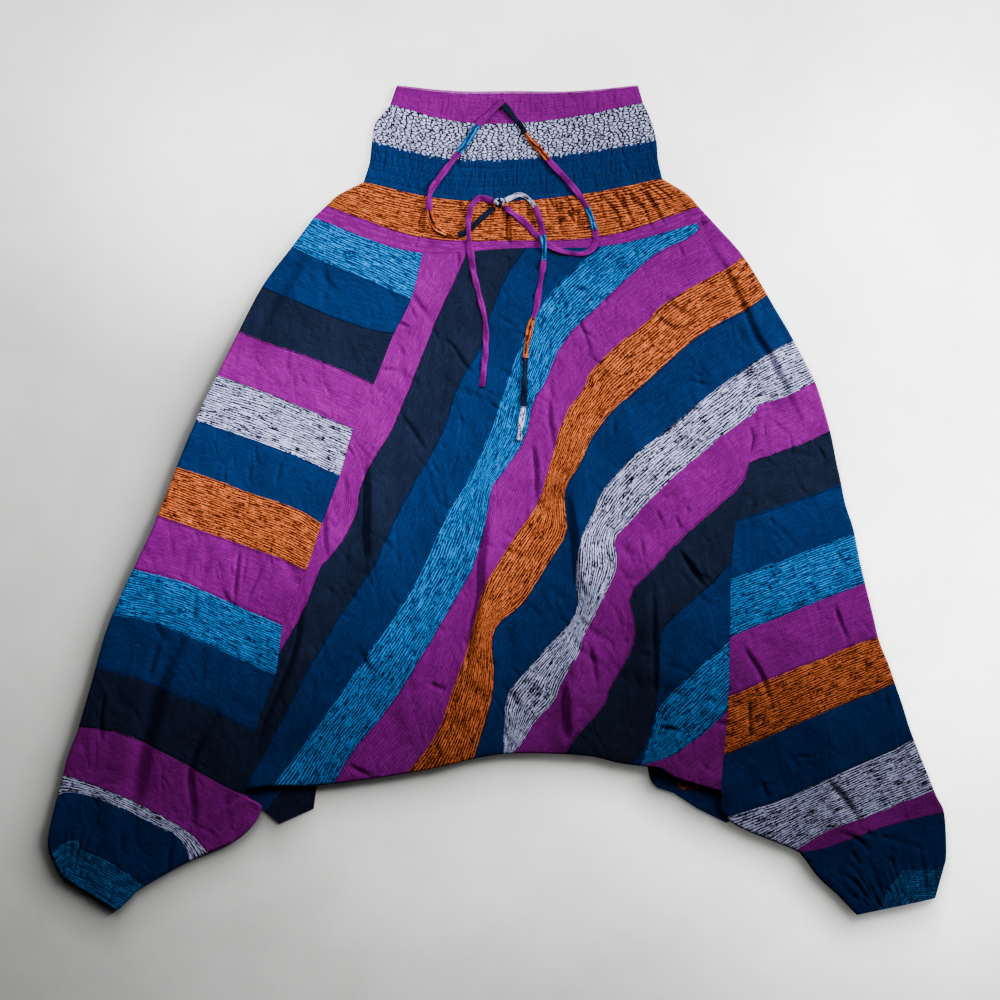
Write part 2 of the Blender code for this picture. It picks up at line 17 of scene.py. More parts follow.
import bpy
import numpy as np
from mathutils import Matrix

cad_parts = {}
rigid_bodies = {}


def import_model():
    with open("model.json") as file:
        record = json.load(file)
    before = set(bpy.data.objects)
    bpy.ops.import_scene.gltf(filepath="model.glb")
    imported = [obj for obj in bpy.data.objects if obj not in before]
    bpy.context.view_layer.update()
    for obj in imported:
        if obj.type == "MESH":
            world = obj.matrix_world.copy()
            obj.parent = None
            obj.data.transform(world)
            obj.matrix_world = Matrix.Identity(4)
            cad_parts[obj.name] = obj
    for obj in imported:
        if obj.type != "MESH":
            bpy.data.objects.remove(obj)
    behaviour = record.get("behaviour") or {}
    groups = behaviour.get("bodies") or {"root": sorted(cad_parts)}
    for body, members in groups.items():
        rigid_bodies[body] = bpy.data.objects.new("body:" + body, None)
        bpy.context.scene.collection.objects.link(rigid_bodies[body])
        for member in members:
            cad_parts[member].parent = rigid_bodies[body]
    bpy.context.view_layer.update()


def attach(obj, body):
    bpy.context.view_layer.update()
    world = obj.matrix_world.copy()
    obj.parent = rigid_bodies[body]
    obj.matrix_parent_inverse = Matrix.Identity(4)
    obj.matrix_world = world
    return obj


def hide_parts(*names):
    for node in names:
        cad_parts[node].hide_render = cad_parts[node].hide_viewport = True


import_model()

log = logging.getLogger("trousers")
Array = np.ndarray
Line = Sequence[tuple[float, float]]
Tree = bpy.types.NodeTree
Node = bpy.types.Node

MM = 0.001
BODY = "root"

# Cloth
WALL = 0.8              # thickness of one layer here
SOLID_WALL = 1.5        # thickness of a layer in the solids
SEAM = 0.12             # how far each piece stands back from a seam line
LIFT = 6.0              # height of the front layer's face over the surface
FOLD_DEPTH = 3.0        # how far in from a side fold its round reaches
CROTCH_DEPTH = 3.6      # the same at the fold between the legs
CROTCH_TUCK = 36.0      # degrees that fold goes on under itself
INSEAM_ANGLE = 6.0      # degrees each end of a leg stops short of meeting the other
STEEPEST = 0.65         # sine of the sharpest slant a row may have to its edge
SEAM_SPREAD = 0.12      # how far the first columns beside a seam reach, as a share
STRIPE_WIDTH = 58.0     # across a usual stripe
FOLD_ASIDE = 7.0        # how far a large fold's crest stands to the right of its crease
FOLD_RISE = 0.8         # how much of its rise the cloth here keeps
BACK_RISE = 3.0         # the most of a front's rise that its back takes after
CREASE_GAIN = 1.25      # how much sharper creases are than their table says


def table(kind: Any, rows: Sequence[tuple]) -> tuple:
    """Give a table's rows their kind, and so names for their columns."""
    return tuple(kind(*row) for row in rows)


class WaistRow(NamedTuple):
    """One line across the waist: its ends, and its height at them and each quarter."""

    x_left: float
    x_right: float
    y_0: float
    y_1: float
    y_2: float
    y_3: float
    y_4: float


class LegRow(NamedTuple):
    """One line across a leg, from its outer side fold to its inner end."""

    edge_x: float
    edge_y: float
    inner_x: float
    inner_y: float


CASING_ROWS = table(WaistRow, (
    (-121, 169, 498, 491, 491, 491, 498),
    (-125, 172, 487, 473, 471, 476, 487),
    (-129, 175, 475, 455, 452, 461, 477),
))
BAND_ROWS = table(WaistRow, (
    (-129, 175, 475, 455, 452, 461, 477),
    (-147, 185, 452, 433, 431, 440, 455),
    (-151, 191, 431, 411, 409, 418, 432),
    (-154, 193, 405, 386, 384, 393, 408),
    (-161, 198, 382, 362, 359, 368, 386),
))
HIP_ROWS = table(WaistRow, (
    (-161, 198, 382, 362, 359, 368, 386),
    (-190, 227, 367, 340, 337, 344, 368),
    (-206, 242, 353, 316, 311, 317, 352),
    (-221, 256, 339, 298, 302, 306, 337),
))

# Where the two long front seams start on the hip line, as a share of its width
LEFT_SEAM_SHARE = 0.275
RIGHT_SEAM_SHARE = 0.965

LEFT_LEG = table(LegRow, (
    (-221, 339, -90, 297), (-247, 304, -104, 240), (-283, 256, -125, 198),
    (-311, 202, -149, 138), (-339, 146, -173, 85), (-363, 95, -189, 30),
    (-387, 35, -209, -24), (-410, -22, -230, -85), (-437, -83, -257, -149),
    (-463, -138, -266, -208), (-482, -199, -290, -276), (-501, -266, -303, -348),
    (-513, -298, -283, -370), (-521, -326, -309, -406), (-527, -350, -369, -433),
    (-540, -408, -427, -466), (-532, -436, -439, -477),
))
RIGHT_LEG = table(LegRow, (
    (256, 337, 240, 332), (296, 292, 269, 271), (325, 245, 292, 224),
    (356, 191, 309, 166), (381, 142, 311, 112), (400, 80, 302, 47),
    (413, 18, 286, -26), (429, -42, 280, -96), (441, -96, 279, -160),
    (457, -163, 277, -238), (478, -221, 272, -306), (495, -274, 269, -350),
    (506, -302, 279, -386), (526, -352, 353, -419), (537, -378, 366, -428),
    (539, -426, 385, -453), (536, -442, 409, -475),
))
CROTCH_ROW = 11         # the leg row where the body panels end
LEFT_CUFF = (LegRow(-532, -436, -439, -477), LegRow(-524, -450, -456, -493))
RIGHT_CUFF = (LegRow(536, -442, 409, -475), LegRow(526, -478, 431, -498))

# The lower edges of the body panels, from the left leg to the right
FRONT_HEM: Line = (
    (-303, -348), (-273, -344), (-220, -343), (-160, -336), (-85, -324),
    (-15, -308), (27, -304), (75, -305), (113, -308), (147, -316), (177, -320),
    (196, -323), (215, -334), (243, -343), (269, -350),
)
BACK_HEM: Line = (
    (-262, -389), (-221, -371), (-217, -338), (-160, -329), (-85, -317),
    (-15, -301), (60, -298), (140, -309), (188, -318), (192, -346), (211, -352),
    (240, -371), (275, -388),
)
BACK_CORNER_ROWS = 1    # how many leg rows below the crotch the back panel reaches


class Fold(NamedTuple):
    """A large soft ridge of the front, as in the solids."""

    x_from: float
    y_from: float
    x_to: float
    y_to: float
    rise: float
    width: float


FOLDS = table(Fold, (
    (-231, 294, -291, 198, 2.2, 18),
    (-152, 60, -151, -72, 3.4, 17),
    (-199, -48, -250, -190, 3.4, 18),
    (-9, -2, -38, -206, 3.8, 18),
    (84, 70, 104, -110, 4.4, 19),
    (171, -70, 176, -200, 4.6, 20),
    (86, -190, 81, -290, 5.2, 18),
    (-40, -250, -75, -310, 4.0, 20),
    (212, -150, 214, -300, 3.6, 20),
    (130, 140, 180, 40, 2.6, 22),
    (283, 260, 345, 130, 2.6, 18),
    (330, -40, 350, -170, 2.0, 22),
    (363, -228, 430, -400, 2.6, 24),
    (-400, -120, -470, -400, 2.8, 22),
    (-275, 54, -300, -40, 2.2, 18),
    (-330, -230, -350, -370, 2.4, 20),
    (20, 240, 40, 120, 2.0, 26),
    (-306, -345, -110, -322, 3.0, 20),
    (-60, -305, 60, -296, 3.0, 20),
    (110, -302, 272, -344, 3.2, 20),
))


class Crease(NamedTuple):
    """A trough pressed down a line, with a ridge on its left hand, which is +X."""

    line: Line
    depth: float
    width: float
    ridge: float
    fall: float


CREASES = table(Crease, (
    # left leg, from the hip to the hem
    (((-224, 305), (-261, 246), (-296, 188)), 4.2, 8.0, 5.0, 26),
    (((-296, 48), (-298, 18)), 1.0, 2.6, 1.0, 8),
    (((-259, 50), (-262, 34), (-268, 18)), 1.6, 3.2, 1.4, 8),
    (((-298, 14), (-299, -8), (-309, -20)), 1.2, 2.4, 1.2, 8),
    (((-309, -52), (-315, -108), (-317, -130)), 2.0, 2.6, 2.0, 10),
    (((-300, -60), (-308, -108)), 1.0, 2.6, 1.0, 8),
    (((-278, -70), (-295, -108), (-306, -128)), 1.4, 2.6, 1.4, 8),
    (((-264, -88), (-283, -108), (-296, -116)), 1.2, 2.4, 1.2, 7),
    (((-255, -104), (-261, -134)), 1.2, 2.6, 1.2, 7),
    (((-241, -72), (-243, -108)), 1.2, 2.4, 1.2, 7),
    (((-339, -40), (-351, -84), (-361, -112)), 0.8, 5.0, 0.9, 14),
    (((-361, -104), (-366, -152)), 1.6, 4.5, 1.6, 14),
    (((-364, -116), (-377, -158), (-400, -206), (-419, -276), (-432, -340),
      (-453, -412)), 5.0, 10.5, 7.0, 34),
    (((-402, -156), (-412, -190), (-424, -228)), 2.2, 5.0, 2.4, 14),
    (((-278, -196), (-291, -220)), 1.2, 2.6, 1.2, 7),
    (((-287, -214), (-300, -238), (-305, -258)), 1.8, 3.0, 1.6, 8),
    (((-469, -226), (-475, -254), (-476, -296)), 1.8, 2.6, 1.6, 10),
    (((-331, -236), (-341, -266), (-357, -290), (-369, -326), (-365, -372),
      (-368, -404)), 3.0, 5.0, 3.4, 18),
    (((-318, -340), (-331, -372), (-352, -400)), 1.6, 3.4, 1.6, 10),
    (((-308, -352), (-330, -372)), 1.2, 3.0, 1.2, 8),
    # the hip band's own gathers
    (((-96, 358), (-110, 340)), 2.0, 2.6, 3.0, 9),
    (((-88, 350), (-91, 320)), 2.2, 2.6, 3.6, 9),
    (((-40, 358), (-34, 320)), 2.0, 2.6, 3.0, 9),
    (((14, 350), (12, 306)), 2.2, 2.6, 3.6, 9),
    (((34, 358), (45, 322)), 2.2, 2.6, 3.6, 9),
    (((82, 350), (95, 328)), 2.0, 2.6, 3.0, 9),
    # body front, left of the middle
    (((-138, 203), (-150, 172), (-165, 145), (-183, 108), (-203, 84)),
     1.4, 6.0, 2.0, 18),
    (((-207, 2), (-207, -54), (-199, -74)), 1.4, 3.0, 1.4, 8),
    (((-221, -100), (-235, -132), (-240, -168), (-249, -198), (-262, -230),
      (-281, -268), (-293, -314)), 2.6, 3.2, 3.0, 14),
    (((-73, 196), (-55, 186), (-39, 162), (-23, 146)), 1.2, 2.6, 1.4, 8),
    (((-119, 108), (-101, 82), (-83, 54)), 1.2, 3.4, 1.4, 10),
    (((-158, 56), (-157, 12), (-158, -54), (-158, -90)), 3.0, 3.8, 4.4, 20),
    (((-123, 214), (-103, 206)), 1.0, 2.6, 1.0, 7),
    (((-143, 156), (-115, 156)), 1.0, 2.6, 1.0, 7),
    (((-85, -218), (-61, -230)), 1.2, 3.0, 1.2, 8),
    (((-183, -316), (-151, -332)), 1.4, 3.0, 1.4, 8),
    (((-75, -286), (-66, -318)), 1.4, 3.4, 1.4, 9),
    (((-9, 2), (-20, -72), (-21, -108), (-28, -144), (-34, -180), (-38, -222)),
     3.0, 3.8, 4.8, 22),
    # body front, right of the middle
    (((91, 228), (105, 198), (113, 168)), 1.0, 2.4, 1.2, 8),
    (((85, 257), (113, 248)), 1.2, 3.0, 1.2, 8),
    (((61, 132), (63, 96), (70, 48)), 1.4, 3.0, 1.6, 9),
    (((41, 76), (46, 36), (46, -10)), 2.2, 3.2, 2.4, 12),
    (((81, 18), (87, -14), (92, -54), (95, -100), (99, -126)), 3.2, 3.8, 5.0, 22),
    (((94, -88), (111, -122)), 1.4, 2.6, 1.4, 8),
    (((112, 154), (109, 118)), 1.4, 2.6, 1.4, 8),
    (((140, 104), (140, 74)), 1.0, 2.4, 1.0, 7),
    (((171, -40), (176, -74)), 1.2, 2.2, 1.3, 7),
    (((188, -6), (201, -34)), 1.0, 2.2, 1.1, 7),
    (((213, -16), (221, -38)), 1.0, 2.2, 1.1, 7),
    (((214, -56), (231, -78), (243, -96), (255, -110)), 2.2, 3.0, 2.8, 12),
    (((185, -82), (187, -126), (188, -168), (190, -256)), 1.8, 3.4, 2.6, 14),
    (((107, -166), (115, -194), (119, -228)), 1.8, 3.2, 2.2, 10),
    (((79, -214), (81, -246), (82, -292)), 3.2, 4.6, 4.8, 20),
    (((171, -186), (186, -186)), 1.2, 4.0, 1.0, 8),
    (((189, -272), (222, -277)), 1.8, 2.8, 1.8, 8),
    # right leg
    (((241, 322), (269, 284), (285, 252), (297, 228), (309, 198), (325, 174),
      (339, 150), (351, 120), (369, 80)), 2.0, 5.0, 2.8, 18),
    (((301, 94), (306, 74), (302, 54)), 1.4, 3.0, 1.4, 8),
    (((285, 212), (301, 180)), 0.8, 5.0, 0.8, 12),
    (((283, -160), (301, -186), (317, -212), (333, -260)), 1.8, 3.6, 2.2, 12),
    (((403, -120), (413, -150), (422, -172)), 1.2, 2.6, 1.4, 9),
    (((302, -232), (303, -294)), 1.6, 2.2, 1.6, 8),
    (((345, -298), (364, -326)), 1.0, 4.0, 1.0, 10),
    (((387, -330), (417, -360), (436, -392)), 2.0, 5.0, 2.6, 16),
    (((315, -334), (326, -362)), 1.6, 3.4, 1.6, 9),
    (((423, -418), (437, -442)), 1.4, 3.4, 1.6, 9),
    # gathers below the waist seam
    (((-92, 364), (-91, 342), (-94, 318)), 2.2, 2.4, 2.2, 7),
    (((-45, 362), (-44, 338)), 2.0, 2.2, 2.0, 6),
    (((-31, 361), (-33, 336)), 1.6, 2.2, 1.6, 6),
    (((14, 356), (13, 330), (14, 302)), 2.4, 2.4, 2.2, 7),
    (((75, 362), (76, 342)), 1.8, 2.2, 1.8, 6),
    (((95, 360), (97, 322)), 2.2, 2.4, 2.0, 7),
    (((122, 366), (126, 342)), 1.8, 2.2, 1.8, 6),
    (((148, 370), (154, 346)), 2.2, 2.4, 2.0, 7),
    (((157, 372), (168, 348)), 2.0, 2.2, 1.8, 6),
    (((173, 378), (188, 352), (198, 334)), 2.4, 2.6, 2.4, 8),
))

# The drawstring's four stretches, from the eyelet to the knot and from it to the ends
EYELET = (7, 479)
KNOT = (2, 356)
KNOT_REACH = 8.4        # where the four strings stop, from the middle of the knot
LEFT_CROSSING = (-35, 323)
RIGHT_CROSSING = (54, 311)
LEFT_LOOP: Line = (
    (7, 479), (-7, 466), (-23, 450), (-35, 432), (-47, 416), (-59, 400),
    (-71, 384), (-80, 370), (-82, 354), (-80, 338), (-73, 326), (-60, 319),
    (-46, 318), (-33, 325), (-21, 336), (-9, 348),
)
RIGHT_LOOP: Line = (
    (5, 477), (14, 466), (27, 450), (39, 432), (52, 418), (65, 403), (81, 386),
    (97, 367), (109, 347), (116, 326), (118, 310), (111, 299), (97, 295),
    (79, 298), (63, 305), (47, 317), (33, 332), (17, 347),
)
LEFT_END: Line = (
    (-7, 361), (-21, 362), (-30, 354), (-34, 341), (-35, 324), (-33, 302),
    (-28, 270), (-21, 242), (-15, 216), (-14, 186), (-16, 162), (-19, 136),
)
RIGHT_END: Line = (
    (11, 362), (26, 366), (38, 360), (47, 347), (52, 331), (55, 312), (56, 293),
    (53, 270), (49, 246), (46, 228), (40, 211), (37, 196), (34, 178), (33, 154),
    (32, 130), (31, 110), (28, 90), (26, 72),
)


# ---- curves and grids


def unit(vectors: Array) -> Array:
    """Scale vectors, which lie along the last axis, to a length of 1."""
    return vectors / np.maximum(np.linalg.norm(vectors, axis=-1, keepdims=True), 1e-9)


def smooth_through(points: Any, positions: Any) -> Array:
    """Read a smooth curve through points: a uniform Catmull-Rom spline.

    Args:
        points: One row for each point.
        positions: Where to read, counted in points.

    Returns:
        One row for each position.
    """
    points = np.asarray(points, float)
    padded = np.vstack([2 * points[0] - points[1], points, 2 * points[-1] - points[-2]])
    index = np.clip(np.floor(positions).astype(int), 0, len(points) - 2)
    part = (np.asarray(positions, float) - index)[:, None]
    before, start, end, after = (padded[index + step] for step in range(4))
    slope = (end - before) * part
    bend = (2 * before - 5 * start + 4 * end - after) * part**2
    twist = (3 * start - before - 3 * end + after) * part**3
    return 0.5 * (2 * start + slope + bend + twist)


def evenly_along(points: Any, shares: Any) -> Array:
    """Read a smooth curve at shares of its length, from 0 to 1."""
    dense = smooth_through(points, np.linspace(0, len(points) - 1, 20 * len(points)))
    steps = np.linalg.norm(np.diff(dense, axis=0), axis=1)
    length = np.concatenate([[0], np.cumsum(steps)])
    wanted = np.asarray(shares) * length[-1]
    return np.stack([np.interp(wanted, length, dense[:, i]) for i in range(2)], axis=1)


def beside_line(x: Array, y: Array, line: Array, open_ends: bool = False) -> tuple:
    """Find where points stand beside a line of straight runs.

    Each point takes the nearest place on the nearest run. Its offset is its distance
    from there, above zero on the left hand of the run.

    Args:
        x: Places across.
        y: Places up.
        line: The line's points.
        open_ends: Whether the first and last runs go on for ever.

    Returns:
        The share of the line's length at the nearest place, and the offset.
    """
    runs = np.diff(line, axis=0)
    lengths = np.linalg.norm(runs, axis=1)
    reached = np.concatenate([[0], np.cumsum(lengths)])
    nearest = np.full(np.shape(x), np.inf)
    along = np.zeros(np.shape(x))
    side = np.ones(np.shape(x))
    last = len(runs) - 1
    for i, (start, run, length) in enumerate(zip(line[:-1], runs, lengths)):
        aside = (x - start[0], y - start[1])
        part = (aside[0] * run[0] + aside[1] * run[1]) / length**2
        low = -np.inf if open_ends and i == 0 else 0
        high = np.inf if open_ends and i == last else 1
        part = np.clip(part, low, high)
        away = np.hypot(aside[0] - part * run[0], aside[1] - part * run[1])
        closer = away < nearest
        nearest = np.where(closer, away, nearest)
        along = np.where(closer, reached[i] + part * length, along)
        turn = run[0] * aside[1] - run[1] * aside[0]
        side = np.where(closer, np.where(turn < 0, -1.0, 1.0), side)
    return along / reached[-1], side * nearest


def waist_points(rows: Sequence[WaistRow], positions: Array, shares: Array) -> Array:
    """Read points of the waist.

    A row's height at a share of its width lies on a smooth curve through its five
    heights, and rows between those of the table are smooth too.

    Args:
        rows: The table.
        positions: Rows to read, counted in the table's, one for each grid row.
        shares: Shares of the width for each grid row and column.

    Returns:
        A grid of points in the plan.
    """
    values = smooth_through(rows, positions)
    weights = smooth_through(np.eye(5), shares.ravel() * 4).reshape(*shares.shape, 5)
    height = (weights * values[:, None, 2:]).sum(axis=2)
    across = values[:, :1] + (values[:, 1:2] - values[:, :1]) * shares
    return np.dstack([across, height])


def hip_line(shares: Array) -> Array:
    """Read points of the hip line at a grid of shares of its width."""
    return waist_points(HIP_ROWS[-2:], np.ones(len(shares)), shares)


def fold_shares(ends: Array, others: Array) -> Array:
    """Give each row's fold depth as a share of the row, measured square to its edge."""
    run = unit(np.gradient(ends, axis=0))
    across = others - ends
    turned = np.abs(run[:, 0] * across[:, 1] - run[:, 1] * across[:, 0])
    width = np.linalg.norm(across, axis=1)
    return FOLD_DEPTH / np.maximum(turned, width * STEEPEST)


def square_off(normal: Array, seam_run: Array) -> None:
    """Keep a wall's end square to its seam, which runs along seam_run in the plan."""
    level = unit(seam_run * [1, 1, 0])
    kept = (normal * level).sum(axis=-1, keepdims=True) * level
    normal[..., :2] = kept[..., :2]
    normal[...] = unit(normal)


def outward_normals(grid: Array, closed: bool, square_rows: tuple = (0, -1)) -> Array:
    """Work out a grid's unit normals, which point up on the front layer.

    A normal is the cross product of the grid's slopes across and down.

    Args:
        grid: The points.
        closed: Whether the last column meets the first.
        square_rows: The rows that end at a seam.

    Returns:
        A normal for each point.
    """
    if closed:
        wrapped = np.concatenate([grid[:, -1:], grid, grid[:, :1]], axis=1)
        across = np.gradient(wrapped, axis=1)[:, 1:-1]
    else:
        across = np.gradient(grid, axis=1)
    down = np.gradient(grid, axis=0)
    normal = unit(np.cross(across, down))
    for row in square_rows:
        square_off(normal[row], across[row])
    if not closed:
        for side in (0, -1):
            square_off(normal[:, side], down[:, side])
    return normal * np.sign(normal[0, grid.shape[1] // 6, 2])


def spread(starts: Array, ends: Array, steps: int) -> Array:
    """Space columns evenly from starts to ends, one row for each pair."""
    return starts[:, None] + (ends - starts)[:, None] * np.linspace(0, 1, steps)


def tube_columns(first: Array, last: Array, front: int, back: int,
                 fold: int) -> tuple[Array, Array]:
    """Place the columns of a tube pressed flat: front, last fold, back, first fold.

    Args:
        first: Each row's fold depth at its start, as a share of the row.
        last: The same at its end.
        front: How many columns the front has.
        back: How many the back has.
        fold: How many each fold has.

    Returns:
        Each row's shares, and each column's level. Level is 1 on the front, -1 on the
        back and the sine of a half turn round each fold.
    """
    angle = np.linspace(math.pi / 2, -math.pi / 2, fold + 2)[1:-1]
    round_in = 1 - np.cos(angle)
    shares = np.hstack([spread(first, 1 - last, front), 1 - last[:, None] * round_in,
                        spread(1 - last, first, back), first[:, None] * round_in[::-1]])
    level = np.concatenate([np.ones(front), np.sin(angle), -np.ones(back),
                            np.sin(angle)[::-1]])
    return shares, level


# ---- the front's relief


@dataclass
class Relief:
    """Height of the front layer's face over the surface, on a grid 1 mm apart."""

    left: int = -575
    bottom: int = -535
    columns: int = 1151
    rows: int = 1071
    height: Array = field(init=False, repr=False)
    low: Array = field(init=False, repr=False)

    def __post_init__(self) -> None:
        """Start level at the lift."""
        self.height = np.full((self.rows, self.columns), LIFT)

    def press(self, line: Line, depth: float, width: float, ridge: float = 0.0,
              fall: float = 8.0, taper: float = 0.35) -> None:
        """Press a trough along a smooth line, with a ridge on the line's left hand.

        The height falls by depth times a bell over the offset from the line. The
        ridge climbs out of the trough as a logistic curve, half up at 0.6 widths, and
        dies away as an exponential. Both fade over the taper's share at the ends.

        Args:
            line: A few points of the line.
            depth: How deep the trough is. Below zero it is a ridge.
            width: Where the bell has fallen to 37 %.
            ridge: Height of the ridge beside it.
            fall: Where the ridge has fallen to 37 %.
            taper: Share of the length over which an end fades.
        """
        points = np.asarray(line, float)
        if len(points) > 2:
            points = evenly_along(points, np.linspace(0, 1, 4 * len(points)))
        reach = max(3.0 * width, 3.0 * fall if ridge else 0.0)
        low = np.floor(points.min(axis=0) - reach).astype(int) - [self.left, self.bottom]
        high = np.ceil(points.max(axis=0) + reach).astype(int) - [self.left, self.bottom]
        low = np.clip(low, 0, [self.columns - 1, self.rows - 1])
        high = np.clip(high + 1, low + 1, [self.columns, self.rows])
        x, y = np.meshgrid(np.arange(low[0], high[0]) + self.left,
                           np.arange(low[1], high[1]) + self.bottom)
        along, off = beside_line(x, y, points)
        change = -depth * np.exp(-(off / width)**2)
        climb = 1 / (1 + np.exp(-np.clip((off / width - 0.6) / 0.3, -30, 30)))
        change += ridge * climb * np.exp(-np.maximum(off, 0) / fall)
        if taper:
            fade = np.clip(np.minimum(along, 1 - along) / taper, 0, 1)
            change *= fade * fade * (3 - 2 * fade)
        self.height[low[1]:high[1], low[0]:high[0]] += change

    def swell(self, seed: int, size: float, rise: float) -> None:
        """Add smooth rises and hollows.

        A coarse grid of random heights is read smoothly at every place.

        Args:
            seed: Where the random numbers start.
            size: The coarse grid's spacing.
            rise: The heights' spread.
        """
        draw = np.random.default_rng(seed)
        rows, columns = int(self.rows / size) + 3, int(self.columns / size) + 3
        coarse = np.clip(draw.normal(0, 1, (rows, columns)), -2, 2)
        tall = smooth_through(coarse, np.arange(self.rows) / size)
        self.height += rise * smooth_through(tall.T, np.arange(self.columns) / size).T

    def crumple(self, seed: int, count: int, lengths: tuple, deepest: float,
                widths: tuple) -> None:
        """Press many small creases, each bent a little, where the cloth is slack.

        They run down the cloth, leaning by a normal draw about a lean that turns from
        upright on the left leg to a slant on the right, as the stripes turn.

        Args:
            seed: Where the random numbers start.
            count: How many creases there are.
            lengths: Their least and greatest length.
            deepest: The greatest depth.
            widths: Their least and greatest width.
        """
        draw = np.random.default_rng(seed)
        for _ in range(count):
            middle = draw.uniform((-540, -490), (540, 300))
            lean = 0.1 + 0.5 * np.clip((middle[0] + 250) / 300, 0, 1)
            turn = lean + draw.normal(0, 0.55)
            half = draw.uniform(*lengths) / 2
            run = np.array([math.sin(turn), -math.cos(turn)])
            bow = np.array([-run[1], run[0]]) * draw.uniform(-0.25, 0.25) * half
            depth = draw.uniform(0.25, 1.0)**1.5 * deepest
            width = draw.uniform(*widths)
            line = (middle - run * half, middle + bow, middle + run * half)
            self.press(line, depth, width, depth * draw.uniform(0.5, 1.3),
                       width * draw.uniform(2.0, 4.0), 0.5)

    def settle(self, least: float = 2.6, rounding: float = 0.6, reach: int = 7) -> None:
        """Keep the face over a least height, and find its lower envelope.

        The height becomes a smooth maximum of itself and the least. The envelope is
        the lowest height within reach across and up, for the wall's inner face.

        Args:
            least: The least height.
            rounding: How soft the smooth maximum is.
            reach: How far the envelope looks.
        """
        over = self.height - least
        self.height = least + (over + np.sqrt(over**2 + rounding)) / 2
        tall = np.pad(self.height, reach, mode="edge")
        span = range(2 * reach + 1)
        tall = np.minimum.reduce([tall[i:i + self.rows] for i in span])
        self.low = np.minimum.reduce([tall[:, i:i + self.columns] for i in span])

    def read(self, x: Array, y: Array, grid: Array | None = None) -> Array:
        """Read heights at places, in a straight line between the grid's points.

        Args:
            x: Places across.
            y: Places up.
            grid: What to read, if not the face's height.

        Returns:
            A height for each place.
        """
        grid = self.height if grid is None else grid
        across = np.clip(x - self.left, 0, self.columns - 1.001)
        up = np.clip(y - self.bottom, 0, self.rows - 1.001)
        column, row = across.astype(int), up.astype(int)
        right, above = across - column, up - row
        low = grid[row, column] * (1 - right) + grid[row, column + 1] * right
        row = row + 1
        high = grid[row, column] * (1 - right) + grid[row, column + 1] * right
        return low * (1 - above) + high * above

    def around(self, x: Array, y: Array, level: Array, share: float,
               middle: float = 0.0) -> Array:
        """Read outer heights round a tube pressed flat.

        They are the face's times (1 + level) / 2. The back also has a share of the
        face's rises, mirrored across the middle.

        Args:
            x: Places across.
            y: Places up.
            level: 1 on the front, -1 on the back, and between them round the folds.
            share: How much of the rises the back has.
            middle: Where the middle is, across.

        Returns:
            A height for each place.
        """
        rises = share * np.clip(self.read(2 * middle - x, y) - LIFT, 0, BACK_RISE)
        return self.read(x, y) * (1 + level) / 2 + rises * np.clip(-level, 0, 1)

    def inner_face(self, outer: Array, normals: Array, fronts: Array) -> Array:
        """Place a wall's inner face under its outer one.

        It lies a wall's thickness in along the normals. On the front it is lowered too,
        by the depth of the lower envelope under the face.

        Args:
            outer: The outer face's points.
            normals: Its unit normals.
            fronts: How much each point is the front's, from 0 to 1.

        Returns:
            The inner face's points.
        """
        inner = outer - WALL * normals
        x, y = outer[:, :, 0], outer[:, :, 1]
        inner[:, :, 2] -= (self.read(x, y) - self.read(x, y, self.low)) * fronts
        return inner


def lay_relief() -> Relief:
    """Fold, crease and gather the front layer."""
    relief = Relief()
    for fold in FOLDS:
        relief.press(((fold.x_from + FOLD_ASIDE, fold.y_from),
                      (fold.x_to + FOLD_ASIDE, fold.y_to)),
                     -FOLD_RISE * fold.rise, fold.width, taper=0)
    relief.swell(seed=11, size=70, rise=0.8)
    relief.swell(seed=12, size=28, rise=0.4)
    relief.swell(seed=13, size=12, rise=0.12)
    relief.crumple(seed=21, count=130, lengths=(35, 90), deepest=1.8, widths=(3.0, 5.5))
    relief.crumple(seed=22, count=900, lengths=(10, 42), deepest=1.25, widths=(1.6, 3.0))
    for crease in CREASES:
        relief.press(crease.line, CREASE_GAIN * crease.depth, crease.width,
                     CREASE_GAIN * crease.ridge, crease.fall)
    Waist.gather(relief)
    Cuff.gather(relief)
    relief.settle()
    return relief


# ---- stripes in the cloth


class Dye(NamedTuple):
    """Colours of one stripe, and how much of it the pale or dark streaks cover."""

    ground: str
    streak: str
    share: float


class Stripe(Enum):
    """The cloth's yarn-dyed stripes, and a painted highlight along the casing's top edge.
    """

    MAGENTA = Dye("#680068", "#7D067F", 0.40)
    NAVY = Dye("#0F1629", "#141C33", 0.40)
    BLUE = Dye("#001F4A", "#01285B", 0.40)
    TURQUOISE = Dye("#00204C", "#0078C8", 0.46)
    ORANGE = Dye("#3E1408", "#D06834", 0.46)
    WHITE = Dye("#C9CDFF", "#060A18", 0.54)
    MARL = Dye("#C4C8F6", "#080C1C", 0.48)
    # painted highlight: a pale line where light catches the casing's rounded top edge
    RIM_HIGHLIGHT = Dye("#B058B0", "#8C2C90", 0.40)
    FLECK = Dye("#02305E", "#2074B4", 0.30)


def stripe_order(names: str) -> tuple[Stripe, ...]:
    """Read stripes from their names, in order."""
    return tuple(Stripe[name] for name in names.split())


